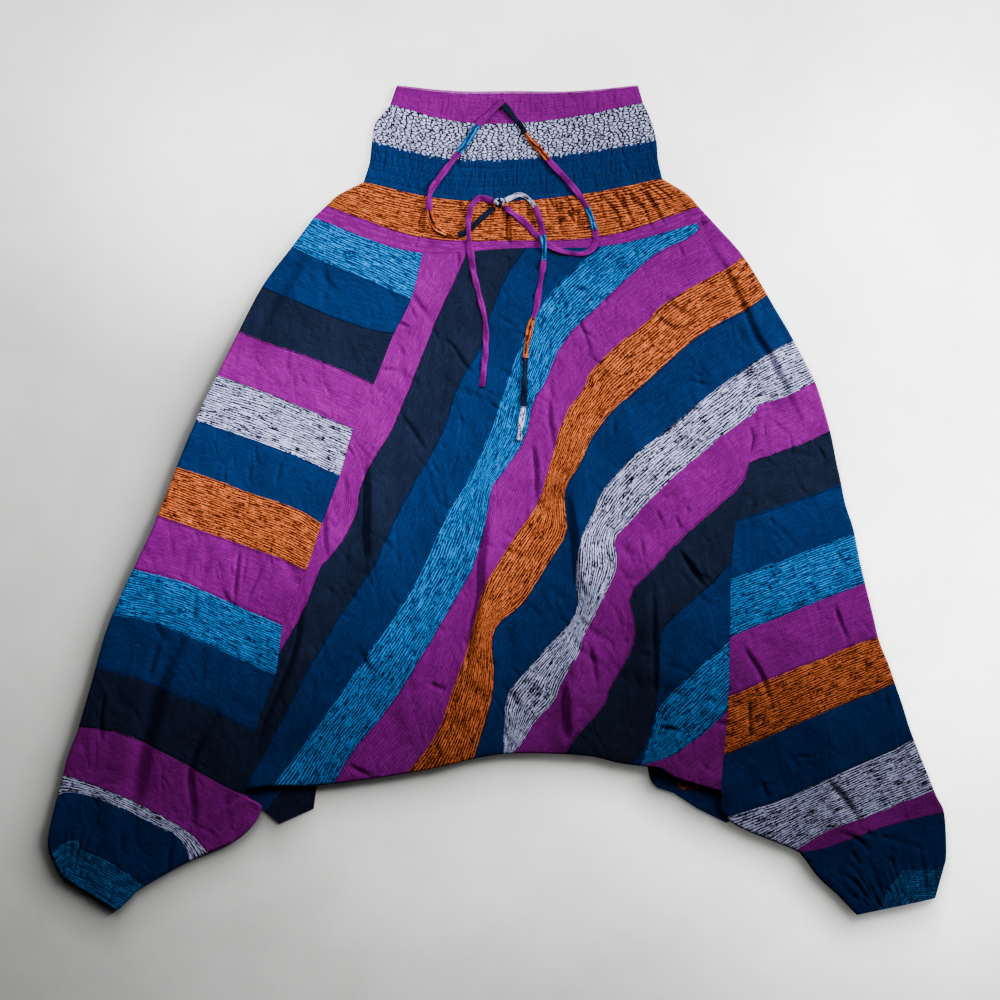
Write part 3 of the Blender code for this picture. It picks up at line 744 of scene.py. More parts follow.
@dataclass(frozen=True)
class StripeLines:
    """Stripes between lines drawn on the cloth, each with the last on its left hand."""

    lines: tuple[Line, ...]
    along: tuple[float, float]

    @staticmethod
    def eased(line: Line) -> Array:
        """Cut a line's corners off a quarter of the way along each run."""
        points = np.asarray(line, float)
        runs = np.diff(points, axis=0)
        cuts = np.stack([points[:-1] + runs / 4, points[1:] - runs / 4], axis=1)
        return np.vstack([points[:1], cuts.reshape(-1, 2)[1:-1], points[-1:]])

    def read(self, x: Array, y: Array) -> Array:
        """Count the lines passed, plus the share of the way from the last to the next.

        The share is the distance from the last line over the sum of the distances
        from the two. Outside the outer lines it is a distance in stripes' widths. The
        distance across the threads is the sum of the mean widths of the stripes
        passed, plus that share of this one's.

        Args:
            x: Places across.
            y: Places up.

        Returns:
            Metres along and across the threads, and the stripe count, at each place.
        """
        off = np.array([beside_line(x, y, self.eased(line), True)[1]
                        for line in self.lines])
        passed = (off > 0).sum(axis=0)
        edge = np.full((1, *x.shape), STRIPE_WIDTH)
        fenced = np.concatenate([edge, np.abs(off), edge])
        before = np.take_along_axis(fenced, passed[None], axis=0)[0]
        after = np.take_along_axis(fenced, passed[None] + 1, axis=0)[0]
        before = np.where(passed == 0, np.maximum(STRIPE_WIDTH - after, 0.1), before)
        after = np.where(passed == len(off), np.maximum(STRIPE_WIDTH - before, 0.1),
                         after)
        share = before / (before + after)
        slots = len(off) + 1
        places = np.bincount(passed.ravel(), minlength=slots)
        widths = np.bincount(passed.ravel(), (before + after).ravel(), slots)
        widths = np.where(places, widths / np.maximum(places, 1), STRIPE_WIDTH)
        across = (np.cumsum(widths) - widths)[passed] + share * widths[passed]
        along = x * self.along[0] + y * self.along[1]
        return np.dstack([along * MM, across * MM, passed + share])


@dataclass(frozen=True)
class BackStripes:
    """Straight stripes on the back panel, and one that shows by the right leg."""

    across: tuple[float, float] = (0.77, -0.64)
    start: float = -262.0
    width: float = 48.0
    last: float = 13.7              # the count at which the last stripe goes on
    corner: tuple[float, float] = (227.0, -341.0)
    corner_reach: tuple[float, float] = (20.0, 7.0)
    corner_count: float = 0.9       # how far the count moves on at the corner

    def read(self, x: Array, y: Array) -> Array:
        """Count stripes as the distance across them over their width.

        At the corner a bell moves the count on by almost a stripe.

        Args:
            x: Places across.
            y: Places up.

        Returns:
            The same as for the front's stripes.
        """
        distance = x * self.across[0] + y * self.across[1] - self.start
        count = np.minimum(distance / self.width, self.last)
        near = np.exp(-((x - self.corner[0]) / self.corner_reach[0])**2
                      - ((y - self.corner[1]) / self.corner_reach[1])**2)
        along = x * self.across[1] - y * self.across[0]
        return np.dstack([along * MM, distance * MM, count + self.corner_count * near])


FRONT_STRIPES = StripeLines((
    ((-38, 293), (-50, 266), (-70, 223), (-81, 196), (-93, 166), (-107, 130),
     (-129, 78), (-152, 44), (-166, 11), (-167, -12), (-181, -42), (-199, -67),
     (-214, -82), (-230, -131), (-257, -176)),
    ((29, 295), (8, 265), (-8, 224), (-21, 179), (-40, 151), (-53, 121), (-63, 86),
     (-83, 48), (-101, 19), (-131, -40), (-147, -79), (-181, -128), (-205, -164),
     (-266, -278)),
    ((123, 300), (100, 284), (58, 242), (29, 190), (5, 121), (-13, 68), (-31, 29),
     (-62, -18), (-86, -79), (-113, -125), (-151, -180), (-175, -214), (-205, -257),
     (-236, -300), (-269, -342)),
    ((253, 336), (232, 314), (197, 300), (167, 276), (124, 235), (77, 190), (57, 137),
     (43, 120), (35, 72), (9, 36), (-8, 14), (-11, -18), (-21, -58), (-31, -88),
     (-55, -128), (-82, -174), (-125, -245), (-178, -308), (-193, -336)),
    ((293, 290), (273, 276), (241, 259), (197, 233), (177, 210), (142, 184),
     (110, 151), (107, 137), (81, 104), (61, 35), (52, -2), (27, -36), (7, -67),
     (-15, -101), (-23, -128), (-28, -149), (-43, -204), (-55, -232), (-69, -281),
     (-101, -320)),
    ((323, 245), (293, 224), (263, 210), (226, 184), (197, 157), (165, 128),
     (139, 108), (113, 74), (101, 43), (81, 16), (82, -12), (86, -40), (64, -73),
     (40, -113), (25, -131), (-1, -149), (-7, -170), (-2, -217), (-9, -253),
     (-28, -312)),
    ((357, 191), (328, 178), (304, 160), (269, 137), (241, 114), (206, 84), (167, 55),
     (142, 29), (124, 8), (116, -14), (98, -49), (94, -94), (99, -132), (83, -154),
     (67, -170), (32, -209), (9, -234), (8, -294)),
    ((380, 142), (355, 127), (314, 114), (296, 96), (269, 79), (241, 55), (206, 26),
     (177, -2), (153, -32), (137, -44), (143, -77), (136, -98), (119, -132),
     (100, -164), (98, -181), (75, -215), (67, -242), (45, -262), (28, -289)),
    ((399, 82), (365, 67), (328, 55), (302, 47), (293, 18), (269, -2), (241, -26),
     (213, -52), (191, -77), (155, -113), (163, -143), (166, -164), (155, -192),
     (133, -226), (129, -245), (98, -275), (81, -300)),
    ((285, -72), (238, -118), (213, -137), (196, -154), (193, -176), (194, -204),
     (191, -253), (182, -286)),
    ((278, -170), (235, -206), (213, -226), (196, -245), (190, -256), (183, -289),
     (166, -313)),
    ((277, -250), (254, -275), (227, -294), (207, -308), (188, -313)),
), (-0.5, -0.86))
LEFT_STRIPES = StripeLines((
    ((-104, 240), (-158, 265), (-200, 281), (-249, 304)),
    ((-127, 200), (-155, 205), (-200, 220), (-243, 239), (-283, 256)),
    ((-149, 138), (-187, 156), (-229, 172), (-271, 186), (-313, 202)),
    ((-173, 84), (-229, 108), (-285, 131), (-337, 149)),
    ((-189, 29), (-257, 59), (-314, 79), (-361, 95)),
    ((-212, -30), (-243, -10), (-299, 7), (-341, 24), (-383, 37)),
    ((-232, -85), (-266, -70), (-297, -59), (-411, -19)),
    ((-260, -148), (-328, -118), (-383, -94), (-434, -82)),
    ((-268, -209), (-315, -187), (-356, -168), (-411, -146), (-458, -137)),
    ((-290, -278), (-340, -251), (-394, -229), (-439, -210), (-483, -200)),
    ((-283, -360), (-317, -348), (-370, -318), (-425, -288), (-466, -275),
     (-502, -271)),
    ((-356, -414), (-368, -400), (-411, -374), (-453, -354), (-512, -332),
     (-524, -330)),
    ((-369, -434), (-370, -422), (-383, -402), (-411, -390), (-453, -367),
     (-494, -352), (-519, -349), (-531, -355)),
    ((-430, -457), (-466, -433), (-501, -419), (-501, -408), (-521, -409),
     (-537, -422)),
), (0.97, -0.25))
RIGHT_STRIPES = StripeLines((
    ((293, 290), (273, 276), (241, 259)),
    ((323, 245), (293, 224), (263, 210)),
    ((357, 191), (328, 178), (304, 160)),
    ((380, 142), (355, 127), (314, 114)),
    ((401, 83), (371, 68), (343, 59), (298, 42)),
    ((416, 18), (392, 10), (355, -4), (317, -16), (289, -26)),
    ((430, -42), (392, -55), (355, -70), (317, -83), (281, -96)),
    ((440, -98), (404, -112), (367, -127), (331, -142), (293, -156), (279, -163)),
    ((457, -163), (428, -172), (392, -188), (355, -202), (317, -218), (277, -235)),
    ((477, -218), (440, -234), (404, -248), (355, -269), (317, -286), (272, -304)),
    ((499, -286), (465, -304), (428, -318), (392, -335), (343, -358), (305, -370),
     (272, -380)),
    ((526, -347), (489, -362), (453, -377), (416, -389), (392, -398), (362, -418)),
    ((536, -373), (501, -382), (465, -391), (428, -404), (392, -418), (364, -422)),
    ((538, -442), (501, -444), (481, -446), (472, -460), (464, -476)),
), (0.94, 0.33))

FRONT_COLOURS = stripe_order(
    "MAGENTA NAVY BLUE TURQUOISE MAGENTA ORANGE BLUE WHITE MAGENTA NAVY "
    "BLUE TURQUOISE MAGENTA")
LEFT_COLOURS = stripe_order(
    "TURQUOISE BLUE NAVY MAGENTA WHITE BLUE ORANGE MAGENTA TURQUOISE "
    "BLUE NAVY MAGENTA WHITE BLUE FLECK")
RIGHT_COLOURS = stripe_order(
    "MAGENTA ORANGE BLUE WHITE MAGENTA NAVY BLUE TURQUOISE MAGENTA "
    "ORANGE BLUE WHITE MAGENTA BLUE FLECK")
BACK_COLOURS = stripe_order(
    "MAGENTA ORANGE BLUE WHITE MAGENTA BLUE NAVY BLUE TURQUOISE MAGENTA "
    "ORANGE BLUE NAVY BLUE ORANGE")


# ---- materials


def linear(colour: str) -> list[float]:
    """Turn an sRGB hex colour into linear red, green and blue."""
    parts = (int(colour[i:i + 2], 16) / 255 for i in (1, 3, 5))
    return [part / 12.92 if part <= 0.04045 else ((part + 0.055) / 1.055)**2.4
            for part in parts]


VECTOR_MATH = "ShaderNodeVectorMath"
NOISE = "ShaderNodeTexNoise"


def node(tree: Tree, kind: str, inputs: Any = (), **settings: Any) -> Node:
    """Add a node to a material.

    Args:
        tree: The material's nodes.
        kind: The node's type, or what a Math node works out, such as ADD.
        inputs: What its inputs get, in their order, or by name or number. Each gets a
            value, a socket to link from, or a node, which gives its first output.
        **settings: The node's own settings.

    Returns:
        The node.
    """
    if not kind.startswith("Shader"):
        kind, settings["operation"] = "ShaderNodeMath", kind
    made = tree.nodes.new(kind)
    for name, value in settings.items():
        setattr(made, name, value)
    for name, value in inputs.items() if isinstance(inputs, dict) else enumerate(inputs):
        if isinstance(value, Node):
            value = value.outputs[0]
        if isinstance(value, bpy.types.NodeSocket):
            tree.links.new(value, made.inputs[name])
        else:
            made.inputs[name].default_value = value
    return made


class ShadeFalloff(NamedTuple):
    """Painted shade: how the cloth's tone changes between two places along an axis, in
    metres.
    """

    axis: str
    start: float
    end: float
    before: float
    after: float


# Painted shade: the cloth is lightest at the left of the hips and darker to the right and
# at the hems
PAINTED_SHADE_FALLOFFS = (
    ShadeFalloff("X", -0.15, 0.15, 1.0, 0.60),
    ShadeFalloff("Y", -0.34, 0.05, 0.34, 1.0),
    ShadeFalloff("Y", 0.10, 0.48, 1.0, 0.58),
)
RAMP_STEP = 17          # a stripe's steps in a colour ramp, which Cycles reads in 255
STREAK_EDGE = 6.5       # how sharply a streak starts where the level passes its share


class FineCrease(NamedTuple):
    """Creases too fine for the mesh: metres between them, their stretch and height."""

    spacing: float
    stretch: float
    height: float


FINE_CREASES = (FineCrease(0.030, 1.9, 3.0), FineCrease(0.011, 1.5, 0.9))
FINE_CREASE_TURN = -0.5


@dataclass(frozen=True)
class YarnDyedCotton:
    """Soft plain-woven cotton, yarn-dyed in stripes whose streaks run along them.

    It is matt with a faint nap, so it has a high roughness and a little sheen, and
    its threads give a fine broken grain. One thread is too fine to show, so the
    streaks are drawn some six threads apart.
    """

    stripes: tuple[Stripe, ...]
    streaks_along: float = 55.0     # streaks in each metre along the threads
    pitch: float = 0.0028           # metres from one streak to the next
    ragged: float = 0.07            # how far streaks cross a stripe's edge, in stripes
    # with cells, the dark streaks at their borders are partly painted shade of the puckers
    shaded_cells: bool = False          # whether gathering breaks the streaks into cells

    def level(self, tree: Tree, threads: Any, noises: dict) -> Any:
        """Add the level whose rises show as streaks, from about 0 to 1.

        It is noise drawn out along the threads and broken along its length. On flat
        cloth it also rises and falls as a sine across the threads, which noise makes
        wander. On gathered cloth it falls away from the borders of small cells, so the
        marl's dark streaks there are partly its own threads and partly painted shade
        between the puckers.

        Args:
            tree: The material's nodes.
            threads: Metres along and across the threads.
            noises: The noises by name.

        Returns:
            The level.
        """
        parts = node(tree, "ShaderNodeSeparateXYZ", (threads,))
        along, across = parts.outputs["X"], parts.outputs["Y"]
        # partly painted shade: the streaks gather at the cell borders, where the puckers'
        # shade falls
        if self.shaded_cells:
            level = node(tree, "MULTIPLY", (noises["breaks"], 0.3))
            cells = node(tree, "ShaderNodeCombineXYZ", (
                node(tree, "MULTIPLY", (along, 165.0)),
                node(tree, "MULTIPLY_ADD", (across, 320.0, noises["breaks"]))))
            edge = node(tree, "ShaderNodeTexVoronoi", {"Vector": cells, "Scale": 1.0},
                        feature="DISTANCE_TO_EDGE", voronoi_dimensions="2D")
            wave, gain, streak_gain, lift = edge.outputs["Distance"], -1.7, 0.5, 0.40
        else:
            level = node(tree, "MULTIPLY", (noises["breaks"], 0.45))
            phase = node(tree, "MULTIPLY", (across, math.tau / self.pitch))
            phase = node(tree, "MULTIPLY_ADD", (noises["drift"], 14.0, phase))
            wave = node(tree, "SINE", (phase,))
            gain, streak_gain, lift = 0.10, 0.7, -0.075
        level = node(tree, "MULTIPLY_ADD", (wave, gain, level))
        level = node(tree, "MULTIPLY_ADD", (noises["streaks"], streak_gain, level))
        return node(tree, "ADD", (level, lift))

    def ramp(self, tree: Tree, count: Any, streaks: bool) -> Node:
        """Add a colour ramp with a step for each stripe.

        Its alpha holds the level above which the streaks show.

        Args:
            tree: The material's nodes.
            count: The place in the stripes, as a share of the ramp.
            streaks: Whether the colours are the streaks' and not the ground's.

        Returns:
            The ramp.
        """
        made = node(tree, "ShaderNodeValToRGB", (count,))
        elements = made.color_ramp.elements
        made.color_ramp.interpolation = "CONSTANT"
        elements.remove(elements[1])
        for i, stripe in enumerate(self.stripes):
            dye = stripe.value
            place = elements[0] if i == 0 else elements.new((i * RAMP_STEP - 0.5) / 255)
            level = 0.5 + (0.5 - dye.share) * 0.6
            place.color = (*linear(dye.streak if streaks else dye.ground), level)
        return made

    def colour(self, tree: Tree, count: Any, level: Any) -> Any:
        """Add each stripe's ground, with its streaks where the level passes its share.

        Args:
            tree: The material's nodes.
            count: The stripe count.
            level: The level whose rises show as streaks.

        Returns:
            The colour.
        """
        place = node(tree, "MULTIPLY", (count, RAMP_STEP / 255))
        ground = self.ramp(tree, place, False)
        streak = self.ramp(tree, place, True)
        shown = node(tree, "SUBTRACT", (level, streak.outputs["Alpha"]))
        shown = node(tree, "MULTIPLY_ADD", (shown, STREAK_EDGE, 0.5), use_clamp=True)
        mix = node(tree, "ShaderNodeMix", {0: shown, 6: ground, 7: streak},
                   data_type="RGBA")
        return mix.outputs[2]

    def tone_and_painted_shade(self, tree: Tree, count: Any, spot: Any, fading: Any) -> Any:
        """Add the share of its colour that the cloth keeps, painted shade included.

        It is darker in a thin line where two stripes meet, fades in soft patches, and
        is darkened as painted shade by the table of falloffs across the trousers.

        Args:
            tree: The material's nodes.
            count: The stripe count.
            spot: Where the place lies on the piece.
            fading: The noise of the patches.

        Returns:
            The share.
        """
        border = node(tree, "PINGPONG", (count, 0.5))
        border = node(tree, "MULTIPLY_ADD", (border, 24.0, 0.45), use_clamp=True)
        patches = node(tree, "MULTIPLY_ADD", (fading, 0.5, 0.75))
        tone_and_painted_shade = node(tree, "MULTIPLY", (border, patches))
        parts = node(tree, "ShaderNodeSeparateXYZ", (spot,))
        # painted shade: darker to the right, towards the hems and at the top of the waist
        for depth in PAINTED_SHADE_FALLOFFS:
            part = node(tree, "ShaderNodeMapRange", {
                "Value": parts.outputs[depth.axis], "From Min": depth.start,
                "From Max": depth.end, "To Min": depth.before, "To Max": depth.after,
            }, interpolation_type="SMOOTHSTEP")
            tone_and_painted_shade = node(tree, "MULTIPLY", (tone_and_painted_shade, part))
        return tone_and_painted_shade

    def bump(self, tree: Tree, spot: Any, grain: Any, level: Any) -> Any:
        """Add the bump of the grain, the streaks and the fine creases.

        A fine crease runs where a stretched noise crosses its middle value, and its
        height is the noise's distance from that.

        Args:
            tree: The material's nodes.
            spot: Where the place lies on the piece.
            grain: The noise of the grain.
            level: The level whose rises show as streaks.

        Returns:
            The bumped normal.
        """
        relief = node(tree, "MULTIPLY", (level, 0.08))
        relief = node(tree, "MULTIPLY_ADD", (grain, 0.25, relief))
        for crease in FINE_CREASES:
            often = 1 / crease.spacing
            turned = node(tree, "ShaderNodeMapping", {
                "Vector": spot, "Rotation": (0, 0, FINE_CREASE_TURN),
                "Scale": (often, often / crease.stretch, 1)})
            bends = node(tree, NOISE, {
                "Vector": turned, "Scale": 1.0, "Detail": 1.5, "Roughness": 0.5,
                "Distortion": 0.6}, noise_dimensions="2D")
            away = node(tree, "SUBTRACT", (bends, 0.5))
            away = node(tree, "ABSOLUTE", (away,))
            relief = node(tree, "MULTIPLY_ADD", (away, crease.height, relief))
        return node(tree, "ShaderNodeBump", {
            "Strength": 1.0, "Distance": 0.001, "Height": relief}).outputs[0]

    def make(self, name: str) -> bpy.types.Material:
        """Make the material for one piece.

        Its UV map "threads" holds metres along and across the threads, and "stripes"
        holds the stripe count. Ragged streaks move the count to and fro a little.

        Args:
            name: The piece's name.

        Returns:
            The material.
        """
        material = bpy.data.materials.new(name + "_yarn_dyed_cotton")
        material.use_nodes = True
        tree = material.node_tree
        shader = tree.nodes["Principled BSDF"]
        threads, stripes = (node(tree, "ShaderNodeUVMap", uv_map=layer).outputs[0]
                            for layer in ("threads", "stripes"))
        spot = node(tree, "ShaderNodeTexCoord").outputs["Object"]
        # changes in each metre along and across the threads, and detail
        noises = {
            "drift": (14, 14, 1),
            "streaks": (self.streaks_along, 1.8 / self.pitch, 2),
            "breaks": (260, 900, 1),
            "fading": (18, 26, 3),
            "grain": (900, 900, 2),
        }
        for kind, (along, across, detail) in noises.items():
            place = node(tree, VECTOR_MATH, (threads, (along, across, 0)),
                         operation="MULTIPLY")
            noises[kind] = node(tree, NOISE, {
                "Vector": place, "Scale": 1.0, "Detail": detail, "Roughness": 0.55,
            }, noise_dimensions="2D")
        level = self.level(tree, threads, noises)
        count = node(tree, "ShaderNodeSeparateXYZ", (stripes,))
        torn = node(tree, "SUBTRACT", (level, 0.5))
        torn = node(tree, "MULTIPLY_ADD", (torn, self.ragged, count))
        colour = self.colour(tree, torn, level)
        tone_and_painted_shade = self.tone_and_painted_shade(tree, torn, spot, noises["fading"])
        # the colour times its tone, which holds painted shade
        shaded_colour = node(tree, VECTOR_MATH, {0: colour, "Scale": tone_and_painted_shade}, operation="SCALE")
        roughness = node(tree, "MULTIPLY_ADD", (noises["grain"], 0.2, 0.78))
        bump = self.bump(tree, spot, noises["grain"], level)
        tree.links.new(shaded_colour.outputs[0], shader.inputs["Base Color"])
        tree.links.new(roughness.outputs[0], shader.inputs["Roughness"])
        tree.links.new(bump, shader.inputs["Normal"])
        shader.inputs["Specular IOR Level"].default_value = 0.02
        shader.inputs["Sheen Weight"].default_value = 0.004
        shader.inputs["Sheen Roughness"].default_value = 0.4
        return material


class PaintedLightPatch(NamedTuple):
    """A soft patch of painted light on the floor, in metres, whose strength is greatest at
    its middle; below zero it is painted shade.
    """

    x: float
    y: float
    reach_x: float
    reach_y: float
    strength: float


# Painted light: pools of window daylight on the floor round the cloth, given off by the
# floor as emission
PAINTED_LIGHT_POOLS = table(PaintedLightPatch, (
    (0.62, -0.10, 0.75, 0.75, 6.2),
    (0.45, 0.38, 0.40, 0.30, 3.0),
    (-0.30, 0.40, 0.38, 0.30, 2.8),
    (0.05, 0.58, 0.35, 0.30, 1.5),
    (0.00, -0.42, 0.35, 0.20, 0.8),
))
# painted shade: the floor's lower left corner is darker
DIM_CORNER = PaintedLightPatch(-0.66, -0.66, 0.60, 0.70, -0.5)


@dataclass(frozen=True)
class PaintedPlaster:
    """Pale painted plaster: matt and faintly mottled, giving off painted light in pools
    where windows would light it.
    """

    light: str = "#D2D2D0"
    dark: str = "#BFBFBD"
    shading: float = 0.94           # how much darker it is in the cloth's full shade

    @staticmethod
    def patch(tree: Tree, place: Any, painted_patch: PaintedLightPatch) -> Node:
        """Add a patch: a smooth step down over the distance from its middle."""
        aside = node(tree, VECTOR_MATH, (place, (painted_patch.x, painted_patch.y, 0)),
                     operation="SUBTRACT")
        aside = node(tree, VECTOR_MATH, (aside, (painted_patch.reach_x, painted_patch.reach_y, 1)),
                     operation="DIVIDE")
        away = node(tree, VECTOR_MATH, (aside,), operation="LENGTH")
        return node(tree, "ShaderNodeMapRange", {
            "Value": away.outputs["Value"], "To Min": painted_patch.strength, "To Max": 0.0,
        }, interpolation_type="SMOOTHSTEP")

    def make(self, name: str) -> bpy.types.Material:
        """Make the floor's material, which its attribute "shade" darkens.

        Args:
            name: The floor's name.

        Returns:
            The material.
        """
        material = bpy.data.materials.new(name + "_painted_plaster")
        material.use_nodes = True
        tree = material.node_tree
        shader = tree.nodes["Principled BSDF"]
        place = node(tree, "ShaderNodeTexCoord").outputs["Object"]
        clouds = node(tree, NOISE, {
            "Vector": place, "Scale": 7.0, "Detail": 10.0, "Roughness": 0.68})
        ramp = node(tree, "ShaderNodeValToRGB", (clouds,))
        for element, position, colour in zip(ramp.color_ramp.elements, (0.3, 0.7),
                                             (self.dark, self.light)):
            element.position = position
            element.color = (*linear(colour), 1)
        # painted shade: the dim corner and the cloth's shade from the shade attribute
        # darken the paint
        dim = node(tree, "ADD", (self.patch(tree, place, DIM_CORNER), 1.0))
        shade = node(tree, "ShaderNodeAttribute", attribute_name="shade").outputs["Fac"]
        left = node(tree, "MULTIPLY_ADD", (shade, -self.shading, 1.0))
        dim = node(tree, "MULTIPLY", (dim, left))
        paint = node(tree, VECTOR_MATH, {0: ramp, "Scale": dim}, operation="SCALE")
        # painted light: the pools glow from the floor as emission, not from lamps
        total = self.patch(tree, place, PAINTED_LIGHT_POOLS[0])
        for painted_patch in PAINTED_LIGHT_POOLS[1:]:
            total = node(tree, "ADD", (total, self.patch(tree, place, painted_patch)))
        tree.links.new(paint.outputs[0], shader.inputs["Base Color"])
        tree.links.new(paint.outputs[0], shader.inputs["Emission Color"])
        tree.links.new(total.outputs[0], shader.inputs["Emission Strength"])
        shader.inputs["Roughness"].default_value = 0.9
        return material


# ---- meshes


class Sheet(NamedTuple):
    """A mesh: points, faces of four sides, pattern places, and faces of three sides."""

    points: Array
    quads: Array
    places: Array
    triangles: Array = np.empty((0, 3), int)


def make_piece(name: str, sheet: Sheet, cloth: YarnDyedCotton) -> bpy.types.Object:
    """Put a mesh in the scene as a piece of the trousers.

    Args:
        name: The solid that it stands for, whose name it takes.
        sheet: The mesh, in millimetres.
        cloth: What it is made of.

    Returns:
        The object.
    """
    mesh = bpy.data.meshes.new(name)
    mesh.from_pydata((sheet.points * MM).tolist(), [],
                     sheet.quads.tolist() + sheet.triangles.tolist())
    corners = np.concatenate([sheet.quads.ravel(), sheet.triangles.ravel()])
    for layer, columns in (("threads", [0, 1]), ("stripes", [2, 2])):
        values = sheet.places[corners][:, columns]
        mesh.uv_layers.new(name=layer).uv.foreach_set("vector", values.ravel())
    mesh.shade_smooth()
    mesh.set_sharp_from_angle(angle=math.radians(70))
    mesh.materials.append(cloth.make(name))
    piece = bpy.data.objects.new(name + "_cloth", mesh)
    bpy.context.scene.collection.objects.link(piece)
    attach(piece, BODY)
    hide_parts(name)
    areas = np.empty(len(mesh.polygons))
    mesh.polygons.foreach_get("area", areas)
    log.info("%s: %d triangles, %.3f square metres of cloth", name,
             2 * len(sheet.quads) + len(sheet.triangles), areas.sum() / 2)
    return piece


def grid_quads(index: Array) -> Array:
    """Join a grid of point numbers into four-sided faces."""
    return np.stack([index[:-1, :-1], index[1:, :-1], index[1:, 1:], index[:-1, 1:]],
                    axis=2).reshape(-1, 4)


def tube_quads(index: Array) -> Array:
    """Join rings of point numbers into a tube whose faces point outwards."""
    index = np.hstack([index, index[:, :1]])
    return np.roll(grid_quads(index)[:, ::-1], 1, axis=1)


def rim(outer: Array, inner: Array, kept: Array) -> Array:
    """Join an edge of a grid to the same edge of a coarser one.

    Each run of the outer edge makes a triangle with the last inner point before it,
    and each run of the inner edge makes one with the outer point at its end.

    Args:
        outer: Point numbers along the edge.
        inner: Those along the coarser one.
        kept: Which of the outer ones it keeps.

    Returns:
        The triangles.
    """
    before = np.searchsorted(kept, np.arange(len(outer) - 1), side="right") - 1
    fans = np.stack([outer[:-1], outer[1:], inner[before]], axis=1)
    steps = np.stack([outer[kept[1:]], inner[1:], inner[:-1]], axis=1)
    return np.vstack([fans, steps])


def shell(outer: Array, inner: Array, places: Array, rows: Array, columns: Array,
          closed: bool = False) -> Sheet:
    """Join two grids into a closed wall, whose inner face is turned over and coarser.

    Args:
        outer: The grid of the outer face.
        inner: The same grid's inner face.
        places: Pattern places on the grid.
        rows: Rows that the inner face keeps, the first and last among them.
        columns: Columns that it keeps, likewise.
        closed: Whether the last column meets the first.

    Returns:
        The mesh.
    """
    count = outer.shape[0] * outer.shape[1]
    index = np.arange(count).reshape(outer.shape[:2])
    under = count + np.arange(len(rows) * len(columns)).reshape(len(rows), -1)
    points, places = (
        np.vstack([above.reshape(-1, 3), below[np.ix_(rows, columns)].reshape(-1, 3)])
        for above, below in ((outer, inner), (places, places))
    )
    if closed:
        index = np.hstack([index, index[:, :1]])
        under = np.hstack([under, under[:, :1]])
        columns = np.append(columns, outer.shape[1])
    last_row, last_column = index.shape[0] - 1, index.shape[1] - 1
    rims = [rim(index[0], under[0], columns),
            rim(index[-1][::-1], under[-1][::-1], last_column - columns[::-1])]
    if not closed:
        rims += [rim(index[:, -1], under[:, -1], rows),
                 rim(index[::-1, 0], under[::-1, 0], last_row - rows[::-1])]
    quads = np.vstack([grid_quads(index), grid_quads(under)[:, ::-1]])
    triangles = np.vstack(rims)
    top = points[quads[np.argmax(points[quads[:, 0], 2])]]
    if np.cross(top[1] - top[0], top[2] - top[1])[2] < 0:
        quads, triangles = quads[:, ::-1], triangles[:, ::-1]
    return Sheet(points, quads, places, triangles)


def thinned(*parts: tuple[int, int]) -> Array:
    """Number a run of rows or columns, keeping every so many of each part.

    Args:
        *parts: A count of rows or columns, and how many steps apart they are kept.

    Returns:
        The numbers kept, the first and last of the whole among them.
    """
    starts = np.cumsum([0, *(count for count, _ in parts)])
    kept = [np.arange(start, start + count, step)
            for start, (count, step) in zip(starts, parts)]
    return np.unique(np.concatenate([*kept, [starts[-1] - 1]]))


def coons(top: Array, bottom: Array, left: Array, right: Array, down: Array,
          across: Array) -> Array:
    """Fill the plan between four edges with a Coons patch.

    It is the blend of the top and bottom edges, plus that of the two sides, less that
    of the four corners.

    Args:
        top: The top edge's points.
        bottom: The bottom edge's.
        left: The left side's.
        right: The right side's.
        down: Each row's share of the way down.
        across: Each column's share of the way across.

    Returns:
        The grid.
    """
    down, across = down[:, None, None], across[None, :, None]
    corners = ((1 - down) * ((1 - across) * top[0] + across * top[-1])
               + down * ((1 - across) * bottom[0] + across * bottom[-1]))
    return ((1 - down) * top[None] + down * bottom[None]
            + (1 - across) * left[:, None] + across * right[:, None] - corners)


# ---- the waist


@dataclass
class FlatTube:
    """A tube pressed flat and open at both ends: front, right fold, back, left fold."""

    name: str
    rows: Sequence[WaistRow]
    cloth: YarnDyedCotton
    slot: str
    stripe_places: tuple[float, ...]    # the stripe count at each row of the table
    flat: tuple[float, float]
    rests_on: str
    grid_rows: int
    front_steps: int
    back_steps: int
    first_gap: float = SEAM
    fold_steps: int = 10

    def build(self, relief: Relief) -> None:
        """Make the tube.

        Args:
            relief: The front's relief.
        """
        positions = np.linspace(0, len(self.rows) - 1, self.grid_rows)
        starts, ends = (waist_points(self.rows, positions,
                                     np.full((self.grid_rows, 1), share))[:, 0]
                        for share in (0.0, 1.0))
        shares, level = tube_columns(fold_shares(starts, ends), fold_shares(ends, starts),
                                     self.front_steps, self.back_steps, self.fold_steps)
        front = (1 + level) / 2
        plan = waist_points(self.rows, positions, shares)
        down = positions / positions[-1]
        plan[:, :, 1] -= self.first_gap * (1 - down)[:, None]**8
        plan[:, :, 1] += SEAM * down[:, None]**8
        x, y = plan[:, :, 0], plan[:, :, 1]
        middle = (self.rows[0].x_left + self.rows[0].x_right) / 2
        outer = np.dstack([plan, relief.around(x, y, level, 0.5, middle)])
        calm = np.dstack([plan, LIFT * front * np.ones(x.shape)])
        inner = relief.inner_face(outer, outward_normals(calm, closed=True), front)
        count = np.interp(positions, np.arange(len(self.rows)), self.stripe_places)
        down_middle = y[:, self.front_steps // 2] * MM
        places = np.dstack([x * MM, *(np.broadcast_to(values[:, None], shares.shape)
                                      for values in (down_middle, count))])
        fold = (self.fold_steps, 1)
        columns = thinned((self.front_steps, 4), fold, (self.back_steps, 2), fold)
        sheet = shell(outer, inner, places, thinned((self.grid_rows, 3)), columns, True)
        piece = make_piece(self.name, sheet, self.cloth)


